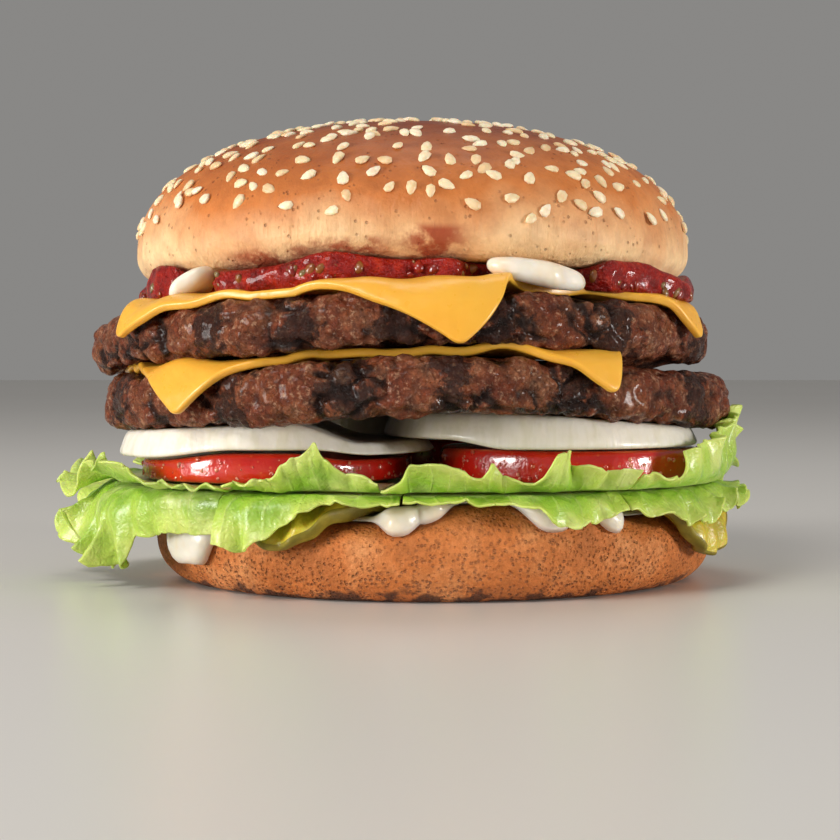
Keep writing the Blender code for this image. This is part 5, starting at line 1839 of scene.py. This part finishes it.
class BURGER_OT_cheese(bpy.types.Operator):
    """Lays the two slices of cheese over the patties"""

    bl_idname = "burger.cheese"
    bl_label = "Cheese"

    def execute(self, context):
        finish = cheese_finish()
        cheese_slice(
            "cheese_lower", LOWER_CHEESE_CORNERS, LOWER_PATTY_CENTRE,
            in_mm(sizes().lower_patty_radius), LOWER_PATTY_TURN, lower_patty_top, finish, 1.0,
        )
        cheese_slice(
            "cheese_upper", UPPER_CHEESE_CORNERS, UPPER_PATTY_CENTRE,
            in_mm(sizes().upper_patty_radius), UPPER_PATTY_TURN, upper_patty_top, finish, 2.0,
            UPPER_CHEESE_PINCH,
        )
        return {"FINISHED"}


class BURGER_OT_vegetables(bpy.types.Operator):
    """Cuts the slices of tomato, onion and pickle"""

    bl_idname = "burger.vegetables"
    bl_label = "Tomato, onion and pickle"

    def execute(self, context):
        tomato_slices()
        onion_slices()
        pickle_slices()
        return {"FINISHED"}


class BURGER_OT_lettuce(bpy.types.Operator):
    """Ruffles the lettuce leaves"""

    bl_idname = "burger.lettuce"
    bl_label = "Lettuce"

    def execute(self, context):
        finish = leaf_finish()
        for draw, (name, leaf) in enumerate(LEAVES.items(), start=1):
            lettuce_leaf(name, leaf, finish, draw * 1.37)
        return {"FINISHED"}


class BURGER_OT_sauces(bpy.types.Operator):
    """Spreads the ketchup and the mayonnaise"""

    bl_idname = "burger.sauces"
    bl_label = "Sauces"

    def execute(self, context):
        mayonnaise = mayonnaise_finish()
        lower_mayonnaise(mayonnaise)
        upper_mayonnaise(mayonnaise)
        ketchup(ketchup_finish(), relish_finish())
        return {"FINISHED"}


class BURGER_OT_stage(bpy.types.Operator):
    """Sets the floor, the studio light and the camera"""

    bl_idname = "burger.stage"
    bl_label = "Stage"

    def execute(self, context):
        stage()
        return {"FINISHED"}


OPERATORS = (
    BURGER_OT_heel,
    BURGER_OT_crown,
    BURGER_OT_patties,
    BURGER_OT_cheese,
    BURGER_OT_vegetables,
    BURGER_OT_lettuce,
    BURGER_OT_sauces,
    BURGER_OT_stage,
)


class BURGER_PT_panel(bpy.types.Panel):
    """Lists the burger's pieces, sizes and colours"""

    bl_idname = "BURGER_PT_panel"
    bl_label = "Burger"
    bl_space_type = "VIEW_3D"
    bl_region_type = "UI"
    bl_category = "Burger"

    def draw(self, context):
        for operator in OPERATORS:
            self.layout.operator(operator.bl_idname)
        for group in (context.scene.burger_sizes, context.scene.burger_colours):
            column = self.layout.column()
            for name in group.bl_rna.properties.keys():
                if name not in ("rna_type", "name"):
                    column.prop(group, name)


CLASSES = (BurgerSizes, BurgerColours, *OPERATORS, BURGER_PT_panel)


# Stage

SOFT_WHITE = (1.0, 0.98, 0.95)
WORLD_STRENGTH = 0.25
FLOOR_WIDTH = 6.0

# Each lamp has its place and width in metres, its power and its tint
LAMP_AIM = (0.0, 0.0, 0.05)
Lamp = namedtuple("Lamp", "place width watts tint")
LAMPS = {
    "Key": Lamp((-0.45, -0.70, 0.80), 0.40, 4.6, (1.0, 0.97, 0.93)),
    "Left side": Lamp((-0.80, -0.42, 0.12), 0.30, 6.2, SOFT_WHITE),
    "Right side": Lamp((0.82, -0.36, 0.085), 0.17, 4.6, SOFT_WHITE),
    "Top": Lamp((0.05, 0.30, 0.90), 0.50, 1.6, SOFT_WHITE),
}

# The camera looks along Y, and dips by some degrees
CAMERA_PLACE = (0.00106, -0.450, 0.0475)
CAMERA_DIP = 1.87
CAMERA_LENS = 90.6


def area_light(name, lamp):
    """A round soft lamp turned towards the middle of the burger."""
    light = bpy.data.lights.new(name, "AREA")
    light.shape = "DISK"
    light.size = lamp.width
    light.energy = lamp.watts
    light.color = lamp.tint
    holder = bpy.data.objects.new(name, light)
    holder.location = lamp.place
    aim = Vector(LAMP_AIM) - Vector(lamp.place)
    holder.rotation_euler = aim.to_track_quat("-Z", "Y").to_euler()
    bpy.context.scene.collection.objects.link(holder)


def stage():
    """A pale floor, soft light from the front left with light along both sides, and the camera."""
    floor_finish = Finish("Pale floor", Roughness=0.32)
    cloud = floor_finish.noise(floor_finish.place(), 0.4, 2.0)
    floor_finish.colour(floor_finish.mix(cloud, srgb(226, 222, 216), srgb(234, 231, 226)))
    half = FLOOR_WIDTH / 2
    corners = [(-half, -half, 0), (half, -half, 0), (half, half, 0), (-half, half, 0)]
    mesh = mesh_of("Floor", corners, [(0, 1, 2, 3)])
    mesh.materials.append(floor_finish.material)
    floor = bpy.data.objects.new("Floor", mesh)
    bpy.context.scene.collection.objects.link(floor)

    for name, lamp in LAMPS.items():
        area_light(name, lamp)

    world = bpy.data.worlds.new("Studio")
    world.use_nodes = True
    background = world.node_tree.nodes["Background"]
    background.inputs["Color"].default_value = (*SOFT_WHITE, 1.0)
    background.inputs["Strength"].default_value = WORLD_STRENGTH
    bpy.context.scene.world = world
    bpy.context.scene.view_settings.view_transform = "Standard"

    camera = bpy.data.cameras.new("Camera")
    camera.lens = CAMERA_LENS
    camera.sensor_width = 36.0
    eye = bpy.data.objects.new("Camera", camera)
    eye.location = CAMERA_PLACE
    eye.rotation_euler = Euler((math.radians(90.0 - CAMERA_DIP), 0.0, 0.0))
    bpy.context.scene.collection.objects.link(eye)
    bpy.context.scene.camera = eye


def register():
    for cls in CLASSES:
        bpy.utils.register_class(cls)
    bpy.types.Scene.burger_sizes = PointerProperty(type=BurgerSizes)
    bpy.types.Scene.burger_colours = PointerProperty(type=BurgerColours)


def unregister():
    del bpy.types.Scene.burger_colours
    del bpy.types.Scene.burger_sizes
    for cls in reversed(CLASSES):
        bpy.utils.unregister_class(cls)


def main():
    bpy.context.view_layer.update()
    register()
    for operator in OPERATORS:
        family, name = operator.bl_idname.split(".")
        getattr(getattr(bpy.ops, family), name)()


if __name__ == "__main__":
    main()
